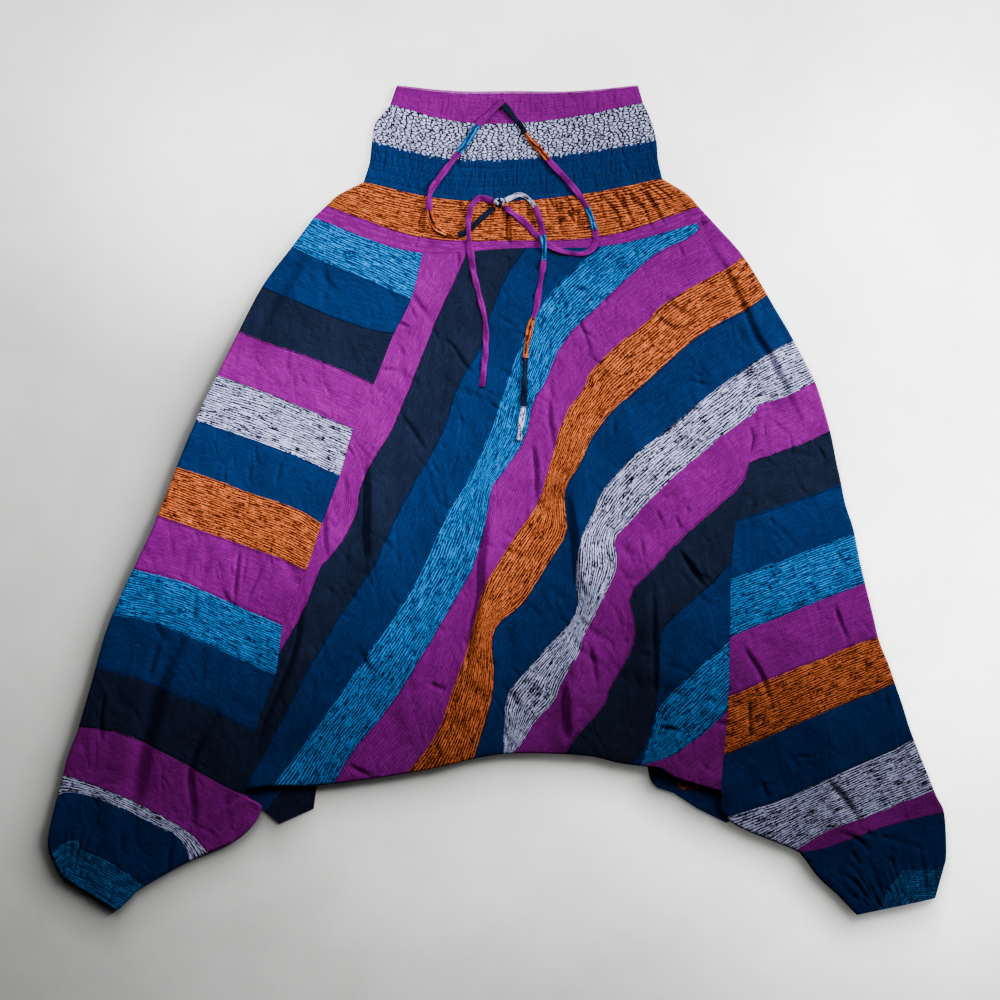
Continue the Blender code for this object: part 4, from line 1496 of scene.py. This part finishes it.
@dataclass
class Waist:
    """The drawstring casing, the smocked band and the gathered hip band."""

    tubes: tuple[FlatTube, ...] = (
        FlatTube("waist_casing", CASING_ROWS,
                 YarnDyedCotton((Stripe.RIM_HIGHLIGHT, Stripe.MAGENTA)), "casing_cloth",
                 (0.9, 1.5, 1.9), flat=(0.64, 0.040), rests_on="waistband_smocked",
                 grid_rows=30, front_steps=520, back_steps=200, first_gap=0),
        FlatTube("waistband_smocked", BAND_ROWS,
                 YarnDyedCotton((Stripe.MARL, Stripe.BLUE), streaks_along=130,
                                pitch=0.0024, ragged=0.09, shaded_cells=True),
                 "smocked_cloth", (0.1, 0.6, 1.0, 1.4, 1.9), flat=(0.90, 0.098),
                 rests_on="hip_band", grid_rows=98, front_steps=580, back_steps=200),
        FlatTube("hip_band", HIP_ROWS,
                 YarnDyedCotton((Stripe.ORANGE, Stripe.MAGENTA), streaks_along=60),
                 "hip_cloth", (0.05, 0.5, 1.0, 1.3), flat=(1.00, 0.066),
                 rests_on="body_back", grid_rows=62, front_steps=520, back_steps=180),
    )

    def build(self, relief: Relief) -> None:
        """Make the three tubes."""
        for tube in self.tubes:
            tube.build(relief)

    @staticmethod
    def pucker(relief: Relief, draw: np.random.Generator, rows: Sequence[WaistRow],
               count: int, lengths: tuple, heights: tuple, widths: tuple) -> None:
        """Press small gathers that run down a tube of the waist.

        Args:
            relief: The front's relief.
            draw: Where the random numbers come from.
            rows: The tube's table.
            count: How many gathers there are, spaced unevenly across the width.
            lengths: Their least and greatest length, in rows of the table.
            heights: Their least and greatest height.
            widths: Their least and greatest width.
        """
        shares = (np.arange(count) + draw.uniform(-0.6, 0.6, count) + 0.5) / count
        for share in np.clip(shares, 0.006, 0.994):
            length = draw.uniform(*lengths)
            start = draw.uniform(-0.25, max(len(rows) - 0.75 - length, -0.2))
            places = np.linspace(start, start + length, 4)
            across = share + np.cumsum(draw.normal(0, 0.0022, 4))
            line = waist_points(rows, places, across[:, None])[:, 0]
            height, width = draw.uniform(*heights), draw.uniform(*widths)
            relief.press(line, height, width, height * draw.uniform(0.7, 1.4),
                         width * draw.uniform(1.4, 2.6), 0.3)

    @classmethod
    def gather(cls, relief: Relief) -> None:
        """Press the rows of elastic, the small gathers between them and the hip's.

        The hip's gathers start at the waist seam and run down one to three rows of
        its table, the longest past the hip line.

        Args:
            relief: The front's relief.
        """
        draw = np.random.default_rng(41)
        shares = np.linspace(0, 1, 17)
        for position in np.linspace(0.25, 3.75, 9):
            places = position + draw.normal(0, 0.02, len(shares))
            line = waist_points(BAND_ROWS, places, shares[:, None])[:, 0]
            relief.press(line, depth=0.45, width=1.3, taper=0)
        cls.pucker(relief, draw, BAND_ROWS, count=190, lengths=(0.35, 1.6),
                   heights=(0.35, 1.0), widths=(0.9, 1.7))
        cls.pucker(relief, draw, CASING_ROWS, count=100, lengths=(0.4, 1.6),
                   heights=(0.2, 0.5), widths=(0.9, 1.5))
        count = 46
        starts = (np.arange(count) + draw.uniform(-0.4, 0.4, count) + 0.5) / count
        for share in starts:
            reach = draw.uniform(0.6, 1.8) + (draw.uniform() > 0.7) * 1.2
            across = share + np.cumsum(draw.normal(0, 0.003, 5))
            places = np.linspace(-0.12, reach, 5)
            line = waist_points(HIP_ROWS, places, across[:, None])[:, 0]
            depth, width = draw.uniform(0.5, 1.8), draw.uniform(1.5, 2.8)
            relief.press(line, depth, width, depth * draw.uniform(0.6, 1.3),
                         width * draw.uniform(2.0, 3.5), 0.3)


# ---- the legs


def leg_rows(table: Sequence[LegRow], seam_share: float, edge_share: float,
             positions: Array) -> tuple[Array, Array, Array, Array]:
    """Read rows of a leg, whose first follows the hip line.

    Args:
        table: The leg's table.
        seam_share: Where the front seam starts, as a share of the hip line.
        edge_share: Where the side fold starts.
        positions: Rows to read, counted in the table's.

    Returns:
        The inner ends, the outer ends, the closing, which runs from 0 beside the body
        panels to 1 where the leg is a tube, and how much rows bend as the hip does.
    """
    hip = hip_line(np.array([[seam_share, edge_share]]))[0]
    values = smooth_through([LegRow(*hip[1], *hip[0]), *table[1:]], positions)
    closing = np.clip((positions - CROTCH_ROW) / 0.9, 0, 1)
    bend = np.clip(1 - positions / 2, 0, 1)
    return values[:, 2:4], values[:, :2], closing, bend


def upward(run: Array) -> Array:
    """Turn a direction in the plan square to itself, towards the waist."""
    return np.array([-run[1], run[0]]) * (1 if run[0] > 0 else -1)


@dataclass
class LegPanel:
    """A leg: from the front seam round the side fold to the back seam or the inseam."""

    name: str
    table: Sequence[LegRow]
    seam_share: float
    edge_share: float
    pattern: StripeLines
    colours: tuple[Stripe, ...]
    flat: tuple[float, float]
    area: float
    seam_steps: int = 318
    lower_steps: int = 116
    front_steps: int = 110
    back_steps: int = 34
    seam_round: int = 5
    fold_steps: int = 12
    edge_knots: int = 34            # how many places the side fold wavers between

    def positions(self) -> Array:
        """Place the rows, counted in the table's."""
        beside = np.linspace(0, CROTCH_ROW, self.seam_steps + 1)
        below = np.linspace(CROTCH_ROW, len(self.table) - 1, self.lower_steps + 1)
        return np.concatenate([beside, below[1:]])

    def waver(self, edges: Array, along_row: Array) -> Array:
        """Move the rows' outer ends in and out by up to a millimetre, unevenly."""
        draw = np.random.default_rng(len(self.name))
        knots = draw.uniform(-0.9, 0.7, (self.edge_knots, 1))
        wobble = smooth_through(knots, np.linspace(0, self.edge_knots - 1, len(edges)))
        fade = np.sin(np.linspace(0, math.pi, len(edges)))
        return edges + along_row * wobble * fade[:, None]

    def columns(self, inner_ends: Array, edges: Array,
                close: Array) -> tuple[Array, Array]:
        """Place each row's columns, and give their levels.

        Level is 1 on the front, -1 on the back and the sine of a half turn round the
        side fold. Where the leg is closed the inner end rounds under in the same way.

        Args:
            inner_ends: The rows' inner ends.
            edges: Their outer ends.
            close: How far the leg is closed there, from 0 to 1.

        Returns:
            The columns' shares of each row, and their levels.
        """
        inseam = fold_shares(inner_ends, edges)[:, None]
        side = fold_shares(edges, inner_ends)[:, None]
        turn = np.radians(np.linspace(INSEAM_ANGLE, 90, self.seam_round))
        flat_start = SEAM_SPREAD * np.linspace(0, 1, self.seam_round)
        start = flat_start * (1 - close) + inseam * (1 - np.cos(turn)) * close
        start_level = 1 - close * (1 - np.sin(turn))
        angle = np.linspace(math.pi / 2, -math.pi / 2, self.fold_steps)
        fold = 1 - side * (1 - np.cos(angle))
        front = spread(start[:, -1], fold[:, 0], self.front_steps + 2)[:, 1:-1]
        back = spread(fold[:, -1], start[:, -1], self.back_steps + 2)[:, 1:-1]
        level = np.hstack([start_level, np.ones(front.shape),
                           np.broadcast_to(np.sin(angle), fold.shape),
                           -np.ones(back.shape), -start_level[:, ::-1]])
        return np.hstack([start, front, fold, back, start[:, ::-1]]), level

    def build(self, relief: Relief) -> None:
        """Make the panel.

        Args:
            relief: The front's relief.
        """
        inner_ends, edges, closing, bend = leg_rows(
            self.table, self.seam_share, self.edge_share, self.positions())
        close = closing[:, None]
        along_row = unit(edges - inner_ends)
        edges = self.waver(edges, along_row)
        shares, level = self.columns(inner_ends, edges, close)
        part = shares[:, :, None]
        plan = inner_ends[:, None] + (edges - inner_ends)[:, None] * part
        hip = hip_line(self.seam_share + (self.edge_share - self.seam_share) * shares)
        straight = inner_ends[0] + (edges[0] - inner_ends[0]) * part
        plan = plan + bend[:, None, None] * (hip - straight)
        plan = plan + along_row[:, None] * SEAM * (1 - part)
        plan[0, :, 1] -= SEAM
        plan[-1] += upward(along_row[-1]) * SEAM
        x, y = plan[:, :, 0], plan[:, :, 1]
        outer = np.dstack([plan, relief.around(x, y, level, 0.35)])
        normals = outward_normals(outer, closed=False)
        out = unit(inner_ends - edges) * close
        for end, up in ((0, 1), (-1, -1)):
            normals[:, end] = unit(np.column_stack([out, up * (1 - closing)]))
        inner = relief.inner_face(outer, normals, (1 + level) / 2)
        columns = thinned((self.seam_round, 1), (self.front_steps, 3),
                          (self.fold_steps, 1), (self.back_steps, 2),
                          (self.seam_round, 1))
        sheet = shell(outer, inner, self.pattern.read(x, y), thinned((len(edges), 3)),
                      columns)
        piece = make_piece(self.name, sheet, YarnDyedCotton(self.colours))


@dataclass
class Cuff:
    """The gathered hem of a leg, a short tube pressed flat."""

    name: str
    rows: tuple[LegRow, LegRow]
    pattern: StripeLines
    colours: tuple[Stripe, ...]
    flat: tuple[float, float]
    leg: str
    grid_rows: int = 26
    front_steps: int = 180
    back_steps: int = 60
    fold_steps: int = 10

    @staticmethod
    def gather(relief: Relief) -> None:
        """Press the gathers that run up each leg from its hem, unevenly spaced.

        Args:
            relief: The front's relief.
        """
        draw, count = np.random.default_rng(51), 26
        for cuff, rows in ((LEFT_CUFF, LEFT_LEG), (RIGHT_CUFF, RIGHT_LEG)):
            hem, top = np.array(cuff[1], float), np.array(rows[-4], float)
            for place in (np.arange(count) + draw.uniform(-0.5, 0.5, count)) / count:
                spots = np.array([[1 - place, place]]).T
                low, high = ((row.reshape(2, 2) * spots).sum(axis=0) for row in (hem, top))
                reach = draw.uniform(0.15, 0.7)
                low = low + (high - low) * draw.uniform(-0.1, 0.15)
                high = low + (high - low) * reach
                middle = (low + high) / 2 + draw.normal(0, 1.5, 2)
                depth, width = draw.uniform(0.4, 1.5), draw.uniform(1.4, 2.6)
                relief.press((high, middle, low), depth, width,
                             depth * draw.uniform(0.6, 1.3), width * 2.5, 0.4)

    def build(self, relief: Relief) -> None:
        """Make the hem as a flat tube, like those of the waist.

        Args:
            relief: The front's relief.
        """
        start, end = (np.array(row, float).reshape(2, 2) for row in self.rows)
        down = np.linspace(0, 1, self.grid_rows)
        rows = start + (end - start) * down[:, None, None]
        edges, ends = rows[:, 0], rows[:, 1]
        shift = -upward(unit(edges[0] - ends[0])) * SEAM * (1 - down)[:, None]**6
        shares, level = tube_columns(fold_shares(ends, edges), fold_shares(edges, ends),
                                     self.front_steps, self.back_steps, self.fold_steps)
        plan = ends[:, None] + (edges - ends)[:, None] * shares[:, :, None]
        plan = plan + shift[:, None]
        x, y = plan[:, :, 0], plan[:, :, 1]
        outer = np.dstack([plan, relief.around(x, y, level, 0.4)])
        inner = relief.inner_face(outer, outward_normals(outer, closed=True),
                                  (1 + level) / 2)
        fold = (self.fold_steps, 1)
        columns = thinned((self.front_steps, 3), fold, (self.back_steps, 2), fold)
        sheet = shell(outer, inner, self.pattern.read(x, y),
                      thinned((self.grid_rows, 3)), columns, closed=True)
        piece = make_piece(self.name, sheet, YarnDyedCotton(self.colours))


# ---- the body


def body_hip(shares: Array) -> Array:
    """Read the body panels' top edge at shares of its width."""
    width = RIGHT_SEAM_SHARE - LEFT_SEAM_SHARE
    return hip_line((LEFT_SEAM_SHARE + width * shares)[None])[0]


def body_sides(positions: Array) -> tuple[tuple, tuple]:
    """Read both legs' rows, whose inner ends are the body panels' sides."""
    return (leg_rows(LEFT_LEG, LEFT_SEAM_SHARE, 0.0, positions),
            leg_rows(RIGHT_LEG, RIGHT_SEAM_SHARE, 1.0, positions))


@dataclass
class BodyFront:
    """The wide front panel, which rolls under at the crotch."""

    columns: int = 252
    flat_rows: int = 338
    roll_rows: int = 9

    def build(self, relief: Relief) -> None:
        """Fill the plan between the hip line, the two seams and the hem.

        Args:
            relief: The front's relief.
        """
        shares = np.linspace(0, 1, self.columns + 1)
        hem = evenly_along(FRONT_HEM, shares)
        top = body_hip(shares)
        roll = np.radians(np.linspace(90, -CROTCH_TUCK, self.roll_rows))
        length = top[len(top) // 2, 1] - hem[:, 1].mean()
        rolled = 1 - CROTCH_DEPTH / length * (1 - np.cos(roll))
        flat = np.linspace(0, 1, self.flat_rows + 1)[:-1]
        flat = flat[flat < rolled[0] - 0.001]
        rows = np.concatenate([flat, rolled])
        level = np.concatenate([np.ones(len(flat)), np.sin(roll)])[:, None]
        left, right = (ends[0] for ends in body_sides(rows * CROTCH_ROW))
        plan = coons(top, hem, left, right, rows, shares)
        plan[:, :, 0] += SEAM * (1 - 2 * shares)
        plan[0, :, 1] -= SEAM
        x, y = plan[:, :, 0], plan[:, :, 1]
        height = relief.read(x, y)
        tuck = math.sin(math.radians(CROTCH_TUCK))
        middle = (SOLID_WALL + SEAM + height * tuck) / (1 + tuck)
        height = np.where(level < 1, middle + (height - middle) * level, height)
        outer = np.dstack([plan, height])
        normals = outward_normals(outer, closed=False, square_rows=(0,))
        inner = relief.inner_face(outer, normals, np.clip(level, 0, 1))
        sheet = shell(outer, inner, FRONT_STRIPES.read(x, y),
                      thinned((len(flat), 3), (self.roll_rows, 1)),
                      thinned((len(shares), 3)))
        piece = make_piece("body_front", sheet, YarnDyedCotton(FRONT_COLOURS))


@dataclass
class BodyBack:
    """The back panel, flat on the surface, with its two corners below the crotch."""

    rows: int = 130
    columns: int = 110
    under_legs: float = 0.8         # how far the lower corners go under a leg's round

    def build(self) -> None:
        """Fill the plan as the front's is filled, with the lower corners in the hem.

        The under face is z = 0 with hollows of up to half a millimetre, a product of
        two sines. The upper face is the wall's thickness above it.
        """
        down = np.linspace(0, 1, self.rows + 1)
        (left, _, closing, _), (right, *_) = body_sides(
            down * (CROTCH_ROW + BACK_CORNER_ROWS))
        reach = np.minimum(4 * closing, 1) * self.under_legs - SEAM
        left[:, 0] -= reach
        right[:, 0] += reach
        corners = np.vstack([left[-1:], BACK_HEM, right[-1:]])
        width = corners[-1, 0] - corners[0, 0]
        shares = np.unique(np.concatenate([np.linspace(0, 1, self.columns),
                                           (corners[:, 0] - corners[0, 0]) / width]))
        hem_x = corners[0, 0] + width * shares
        hem = np.column_stack([hem_x, np.interp(hem_x, *corners.T)])
        plan = coons(body_hip(shares), hem, left, right, down, shares)
        plan[0, :, 1] -= SEAM
        x, y = plan[:, :, 0], plan[:, :, 1]
        hollow = 0.25 + 0.25 * np.sin(x / 19) * np.sin(y / 27)
        inner, outer = (np.dstack([plan, hollow + rise]) for rise in (0, WALL))
        sheet = shell(outer, inner, BackStripes().read(x, y), thinned((len(down), 2)),
                      thinned((len(shares), 2)))
        piece = make_piece("body_back", sheet, YarnDyedCotton(BACK_COLOURS))


# ---- the drawstring


class Patch(NamedTuple):
    """A length of the drawstring in one colour, up to a share of its whole."""

    stripe: Stripe
    until: float


def section_frame(run: Array) -> tuple[Array, Array, Array]:
    """Turn a path's steps into unit directions along it, level across it, and up."""
    along = unit(run)
    aside = unit(np.cross([0, 0, 1], along))
    return along, aside, np.cross(along, aside)


@dataclass
class Tie:
    """One stretch of the drawstring: a flat strip of folded cloth."""

    name: str
    route: Line
    patches: tuple[Patch, ...]
    exit: tuple[float, float]
    far_end: str
    over: tuple[float, float] | None = None
    starts_at_knot: bool = False
    half_width: float = 3.4
    half_thickness: float = 0.85
    step: float = 1.6
    sides: int = 16
    clearance: float = 0.25         # between the strip and what it lies on
    smoothing: int = 15             # points over which its height is smoothed
    on_gathers: float = 1.3         # how much higher it lies on the shirred waist
    gathers_from: float = 372.0     # how far up the trousers that starts
    hump: float = 13.0              # how far from a crossing it climbs the other

    def shortened(self) -> Array:
        """Stop the route short of the knot by the knot's reach."""
        points = np.array(self.route, float)
        spot, beside = (0, 1) if self.starts_at_knot else (-1, -2)
        points[spot] = KNOT + unit(points[beside] - KNOT) * KNOT_REACH
        return points

    def path(self, relief: Relief) -> Array:
        """Lay the strip's middle line on the front.

        Its height is the highest of the front under its width, smoothed along it, plus
        half its thickness. It is a little higher on the shirred waist. Where it passes
        over another stretch a long low hump adds that one's thickness.

        Args:
            relief: The front's relief.

        Returns:
            The line's points.
        """
        route = self.shortened()
        length = np.linalg.norm(np.diff(route, axis=0), axis=1).sum()
        count = round(length / self.step) + 1
        plan = evenly_along(route, np.linspace(0, 1, count))
        run = unit(np.gradient(plan, axis=0))
        aside = np.column_stack([-run[:, 1], run[:, 0]])
        under = np.max([relief.read(*(plan + aside * reach).T)
                        for reach in np.linspace(-1, 1, 5) * self.half_width], axis=0)
        under += self.on_gathers / (1 + np.exp((self.gathers_from - plan[:, 1]) / 6))
        weights = np.hanning(self.smoothing)
        smooth = np.convolve(np.pad(under, self.smoothing // 2, mode="edge"),
                             weights / weights.sum(), mode="valid")
        height = smooth + self.half_thickness + self.clearance
        if self.over:
            away = np.hypot(*(plan - self.over).T)
            height += (2 * self.half_thickness + 0.6) * np.exp(-(away / self.hump)**4)
        return np.column_stack([plan, height])

    def build(self, relief: Relief, with_pieces: Sequence[Any]) -> None:
        """Carry a rounded flat section along the path.

        The section is a superellipse whose width and roll vary slowly, and two small
        rings close each end.

        Args:
            relief: The front's relief.
            with_pieces: The pieces on this stretch. Not used.
        """
        path = self.path(relief)
        count = len(path)
        run, aside, up = section_frame(np.gradient(path, axis=0))
        draw = np.random.default_rng(sum(map(ord, self.name)))
        slow = smooth_through(draw.uniform(-1, 1, (count // 8 + 2, 2)),
                              np.linspace(0, count // 8 + 1, count))
        roll = 0.5 * slow[:, :1]
        across = aside * np.cos(roll) + up * np.sin(roll)
        above = up * np.cos(roll) - aside * np.sin(roll)
        turn = np.linspace(0, 2 * math.pi, self.sides, endpoint=False)
        flatness = np.sign(np.cos(turn)) * np.abs(np.cos(turn))**0.6
        bulge = np.sign(np.sin(turn)) * np.abs(np.sin(turn))**0.6
        width = self.half_width * (1.04 + 0.24 * slow[:, 1:2])
        rings = (path[:, None] + across[:, None] * (width * flatness)[:, :, None]
                 + above[:, None] * (self.half_thickness * bulge)[None, :, None])
        caps = [path[0] + (rings[0] - path[0]) * size - run[0] * back
                for size, back in ((0.1, 0.9), (0.7, 0.6))]
        tips = [path[-1] + (rings[-1] - path[-1]) * size + run[-1] * back
                for size, back in ((0.7, 0.6), (0.1, 0.9))]
        grid = np.array([*caps, *rings, *tips])
        share = np.concatenate([[0, 0], np.linspace(0, 1, count), [1, 1]])
        until = np.array([0.0] + [patch.until for patch in self.patches])
        patch_count = np.interp(share, until, np.arange(len(until)) + 0.001)
        length = np.linalg.norm(np.diff(path * MM, axis=0), axis=1).sum()
        places = np.dstack(np.broadcast_arrays(
            (share * length)[:, None], turn / (2 * math.pi) * 0.018, patch_count[:, None]))
        cloth = YarnDyedCotton(tuple(patch.stripe for patch in self.patches), 90)
        sheet = Sheet(grid.reshape(-1, 3), self.faces(grid), places.reshape(-1, 3))
        piece = make_piece(self.name, sheet, cloth)

    def faces(self, grid: Array) -> Array:
        """Join rings into a tube, and close its ends with four-sided fans."""
        index = np.arange(grid.shape[0] * self.sides).reshape(-1, self.sides)
        steps = np.arange(self.sides // 2 - 1)
        fan = np.stack([steps, -steps - 1, -steps - 2, steps + 1], axis=1)
        first, last = index[0][fan], index[-1][fan]
        return np.vstack([tube_quads(index), first, last[:, ::-1]])


@dataclass
class Knot:
    """The knot in the drawstring: the strip wound round itself as a trefoil."""

    size: float = 1.6
    thickness: float = 1.9
    rings: int = 150
    sides: int = 14

    def build(self, relief: Relief) -> bpy.types.Object:
        """Carry a soft round section along a trefoil pressed flat.

        The middle line is (sin t + 2 sin 2t, cos t - 2 cos 2t, -1.25 sin 3t).

        Args:
            relief: The front's relief.

        Returns:
            The knot.
        """
        t = np.linspace(0, 2 * math.pi, self.rings, endpoint=False)
        line = np.column_stack([np.sin(t) + 2 * np.sin(2 * t),
                                np.cos(t) - 2 * np.cos(2 * t), -1.25 * np.sin(3 * t)])
        line *= self.size
        base = relief.read(np.array([KNOT[0]]), np.array([KNOT[1]]))[0]
        line += [*KNOT, base + 1.25 * self.size + self.thickness + 0.4]
        _, aside, up = section_frame(np.roll(line, -1, axis=0) - np.roll(line, 1, axis=0))
        turn = np.linspace(0, 2 * math.pi, self.sides, endpoint=False)
        ripple = 1 + 0.08 * np.sin(9 * t)[:, None] * np.cos(3 * turn)
        grid = (line[:, None] + aside[:, None] * (ripple * np.cos(turn)
                                                  * self.thickness)[:, :, None]
                + up[:, None] * (ripple * np.sin(turn) * self.thickness * 0.8)[:, :, None])
        index = np.arange(self.rings * self.sides).reshape(self.rings, self.sides)
        faces = tube_quads(np.vstack([index, index[:1]]))
        count = 0.02 + 1.96 * (0.5 - 0.5 * np.cos(t))
        places = np.dstack(np.broadcast_arrays(t[:, None] / 90, turn / 500,
                                               count[:, None]))
        cloth = YarnDyedCotton((Stripe.MARL, Stripe.NAVY), 90)
        sheet = Sheet(grid.reshape(-1, 3), faces, places.reshape(-1, 3))
        return make_piece("drawstring_knot", sheet, cloth)


@dataclass
class Drawstring:
    """Two loops from the eyelet to the knot, the knot, and the two free ends."""

    ties: tuple[Tie, ...] = (
        Tie("tie_loop_left", LEFT_LOOP, (
            Patch(Stripe.MAGENTA, 0.16), Patch(Stripe.TURQUOISE, 0.31),
            Patch(Stripe.MAGENTA, 0.61), Patch(Stripe.ORANGE, 0.80),
            Patch(Stripe.NAVY, 1.0)), EYELET, "knot"),
        Tie("tie_loop_right", RIGHT_LOOP, (
            Patch(Stripe.NAVY, 0.14), Patch(Stripe.ORANGE, 0.26),
            Patch(Stripe.MAGENTA, 0.48), Patch(Stripe.TURQUOISE, 0.56),
            Patch(Stripe.MAGENTA, 1.0)), EYELET, "knot"),
        Tie("tie_end_left", LEFT_END, (Patch(Stripe.MAGENTA, 1.0),), KNOT, "bare",
            LEFT_CROSSING, True),
        Tie("tie_end_right", RIGHT_END, (
            Patch(Stripe.MARL, 0.13), Patch(Stripe.MAGENTA, 0.24),
            Patch(Stripe.TURQUOISE, 0.33), Patch(Stripe.MAGENTA, 0.55),
            Patch(Stripe.ORANGE, 0.70), Patch(Stripe.NAVY, 0.88),
            Patch(Stripe.MARL, 1.0)), KNOT, "bare", RIGHT_CROSSING, True),
    )
    knot: Knot = field(default_factory=Knot)

    def build(self, relief: Relief) -> None:
        """Make the knot and the four stretches.

        Args:
            relief: The front's relief.
        """
        carried = [self.knot.build(relief)]
        for tie in self.ties:
            tie.build(relief, carried)
            carried = []


# ---- the studio


class Lamp(NamedTuple):
    """A square soft light: where it hangs, in metres, its side and its watts."""

    name: str
    place: tuple[float, float, float]
    size: float
    power: float


@dataclass
class Studio:
    """A camera that looks straight down, a pale floor and soft light, in metres."""

    camera_height: float = 3.0
    camera_x: float = 0.003
    view_width: float = 1.2
    sensor: float = 36.0
    floor_reach: float = 4.0
    shaded_reach: float = 0.8
    grid_step: float = 0.004
    shade_width: float = 0.060
    shade_fall: float = 0.55        # below 1, the shade falls off late
    shade_starts: float = 0.34      # how far up the cloth the shade starts
    shade_deepest: float = 0.18     # and how far up it is whole
    daylight: float = 0.07
    lamps: tuple[Lamp, ...] = (
        Lamp("window", (1.5, 0.9, 0.82), 0.6, 140),
        Lamp("fill", (-0.35, 1.25, 0.85), 0.9, 42),
    )

    def camera(self) -> None:
        """Make the camera, whose view is as wide as the frame at the cloth's face."""
        data = bpy.data.cameras.new("camera")
        data.sensor_width = self.sensor
        data.lens = self.sensor * (self.camera_height - LIFT * MM) / self.view_width
        camera = bpy.data.objects.new("camera", data)
        camera.location = (self.camera_x, 0, self.camera_height)
        bpy.context.scene.collection.objects.link(camera)
        bpy.context.scene.camera = camera

    def hang(self, lamp: Lamp) -> None:
        """Hang a light that faces the middle of the floor."""
        data = bpy.data.lights.new(lamp.name, "AREA")
        data.size, data.energy = lamp.size, lamp.power
        made = bpy.data.objects.new(lamp.name, data)
        made.location = lamp.place
        aim = -np.array(lamp.place)
        turn = math.atan2(math.hypot(aim[0], aim[1]), -aim[2])
        made.rotation_euler = (turn, 0, math.atan2(aim[1], aim[0]) - math.pi / 2)
        bpy.context.scene.collection.objects.link(made)

    def shade(self, places: Array) -> Array:
        """Find the soft shade on the floor beside the cloth's raised edges.

        The cloth's points are marked on the floor's grid. The marks then move away from
        the light over a fan of directions, and fade with the way they go. There is none
        beside the waist, over which the light hangs.

        Args:
            places: The grid's places along x, and along y.

        Returns:
            The shade at each point of the grid, from 0 to 1.
        """
        covered = np.zeros((len(places), len(places)))
        for piece in bpy.context.scene.objects:
            if not piece.name.endswith("_cloth"):
                continue
            points = np.empty(len(piece.data.vertices) * 3)
            piece.data.vertices.foreach_get("co", points)
            plan = points.reshape(-1, 3)[:, :2] - self.grid_step / 2
            spots = np.searchsorted(places, plan)
            covered[spots[:, 0], spots[:, 1]] = 1
        for axis in (0, 1):
            covered = (np.roll(covered, -1, axis) + covered + np.roll(covered, 1, axis)) / 3
        total = np.zeros_like(covered)
        steps = round(self.shade_width / self.grid_step)
        for away in range(1, steps):
            for angle in np.radians(np.linspace(0, 90, 9)):
                move = (-round(away * math.cos(angle)), -round(away * math.sin(angle)))
                total += (1 - away / steps) * np.roll(covered, move, axis=(0, 1))
        drop = (self.shade_starts - places) / (self.shade_starts - self.shade_deepest)
        return (total / total.max())**self.shade_fall * np.clip(drop, 0, 1)

    def floor(self) -> None:
        """Lay the floor, with a fine grid under the cloth that holds its shade."""
        count = round(2 * self.shaded_reach / self.grid_step) + 1
        middle = np.linspace(-self.shaded_reach, self.shaded_reach, count)
        places = np.array([-self.floor_reach, *middle, self.floor_reach])
        x, y = np.meshgrid(places, places, indexing="ij")
        points = np.dstack([x, y, np.full_like(x, -0.0004)]).reshape(-1, 3)
        mesh = bpy.data.meshes.new("floor")
        mesh.from_pydata(points.tolist(), [],
                         grid_quads(np.arange(x.size).reshape(x.shape)).tolist())
        shade = mesh.attributes.new("shade", "FLOAT", "POINT")
        shade.data.foreach_set("value", self.shade(places).ravel())
        mesh.materials.append(PaintedPlaster().make("floor"))
        floor = bpy.data.objects.new("floor", mesh)
        bpy.context.scene.collection.objects.link(floor)

    def build(self) -> None:
        """Lay the floor and set the lights."""
        self.floor()
        world = bpy.data.worlds.new("studio")
        world.use_nodes = True
        sky = world.node_tree.nodes["Background"]
        sky.inputs["Color"].default_value = (1, 1, 1, 1)
        sky.inputs["Strength"].default_value = self.daylight
        bpy.context.scene.world = world
        for lamp in self.lamps:
            self.hang(lamp)


def main() -> None:
    """Build the trousers and the studio."""
    logging.basicConfig(level=logging.INFO, format="%(message)s")
    studio = Studio()
    studio.camera()
    relief = lay_relief()
    Drawstring().build(relief)
    Waist().build(relief)
    BodyFront().build(relief)
    BodyBack().build()
    LegPanel("leg_panel_left", LEFT_LEG, LEFT_SEAM_SHARE, 0.0, LEFT_STRIPES, LEFT_COLOURS,
             flat=(0.40, 0.90), area=0.30).build(relief)
    LegPanel("leg_panel_right", RIGHT_LEG, RIGHT_SEAM_SHARE, 1.0, RIGHT_STRIPES,
             RIGHT_COLOURS, flat=(0.40, 0.90), area=0.24).build(relief)
    Cuff("cuff_left", LEFT_CUFF, LEFT_STRIPES, LEFT_COLOURS, flat=(0.22, 0.018),
         leg="leg_panel_left").build(relief)
    Cuff("cuff_right", RIGHT_CUFF, RIGHT_STRIPES, RIGHT_COLOURS, flat=(0.26, 0.032),
         leg="leg_panel_right").build(relief)
    studio.build()


if __name__ == "__main__":
    main()
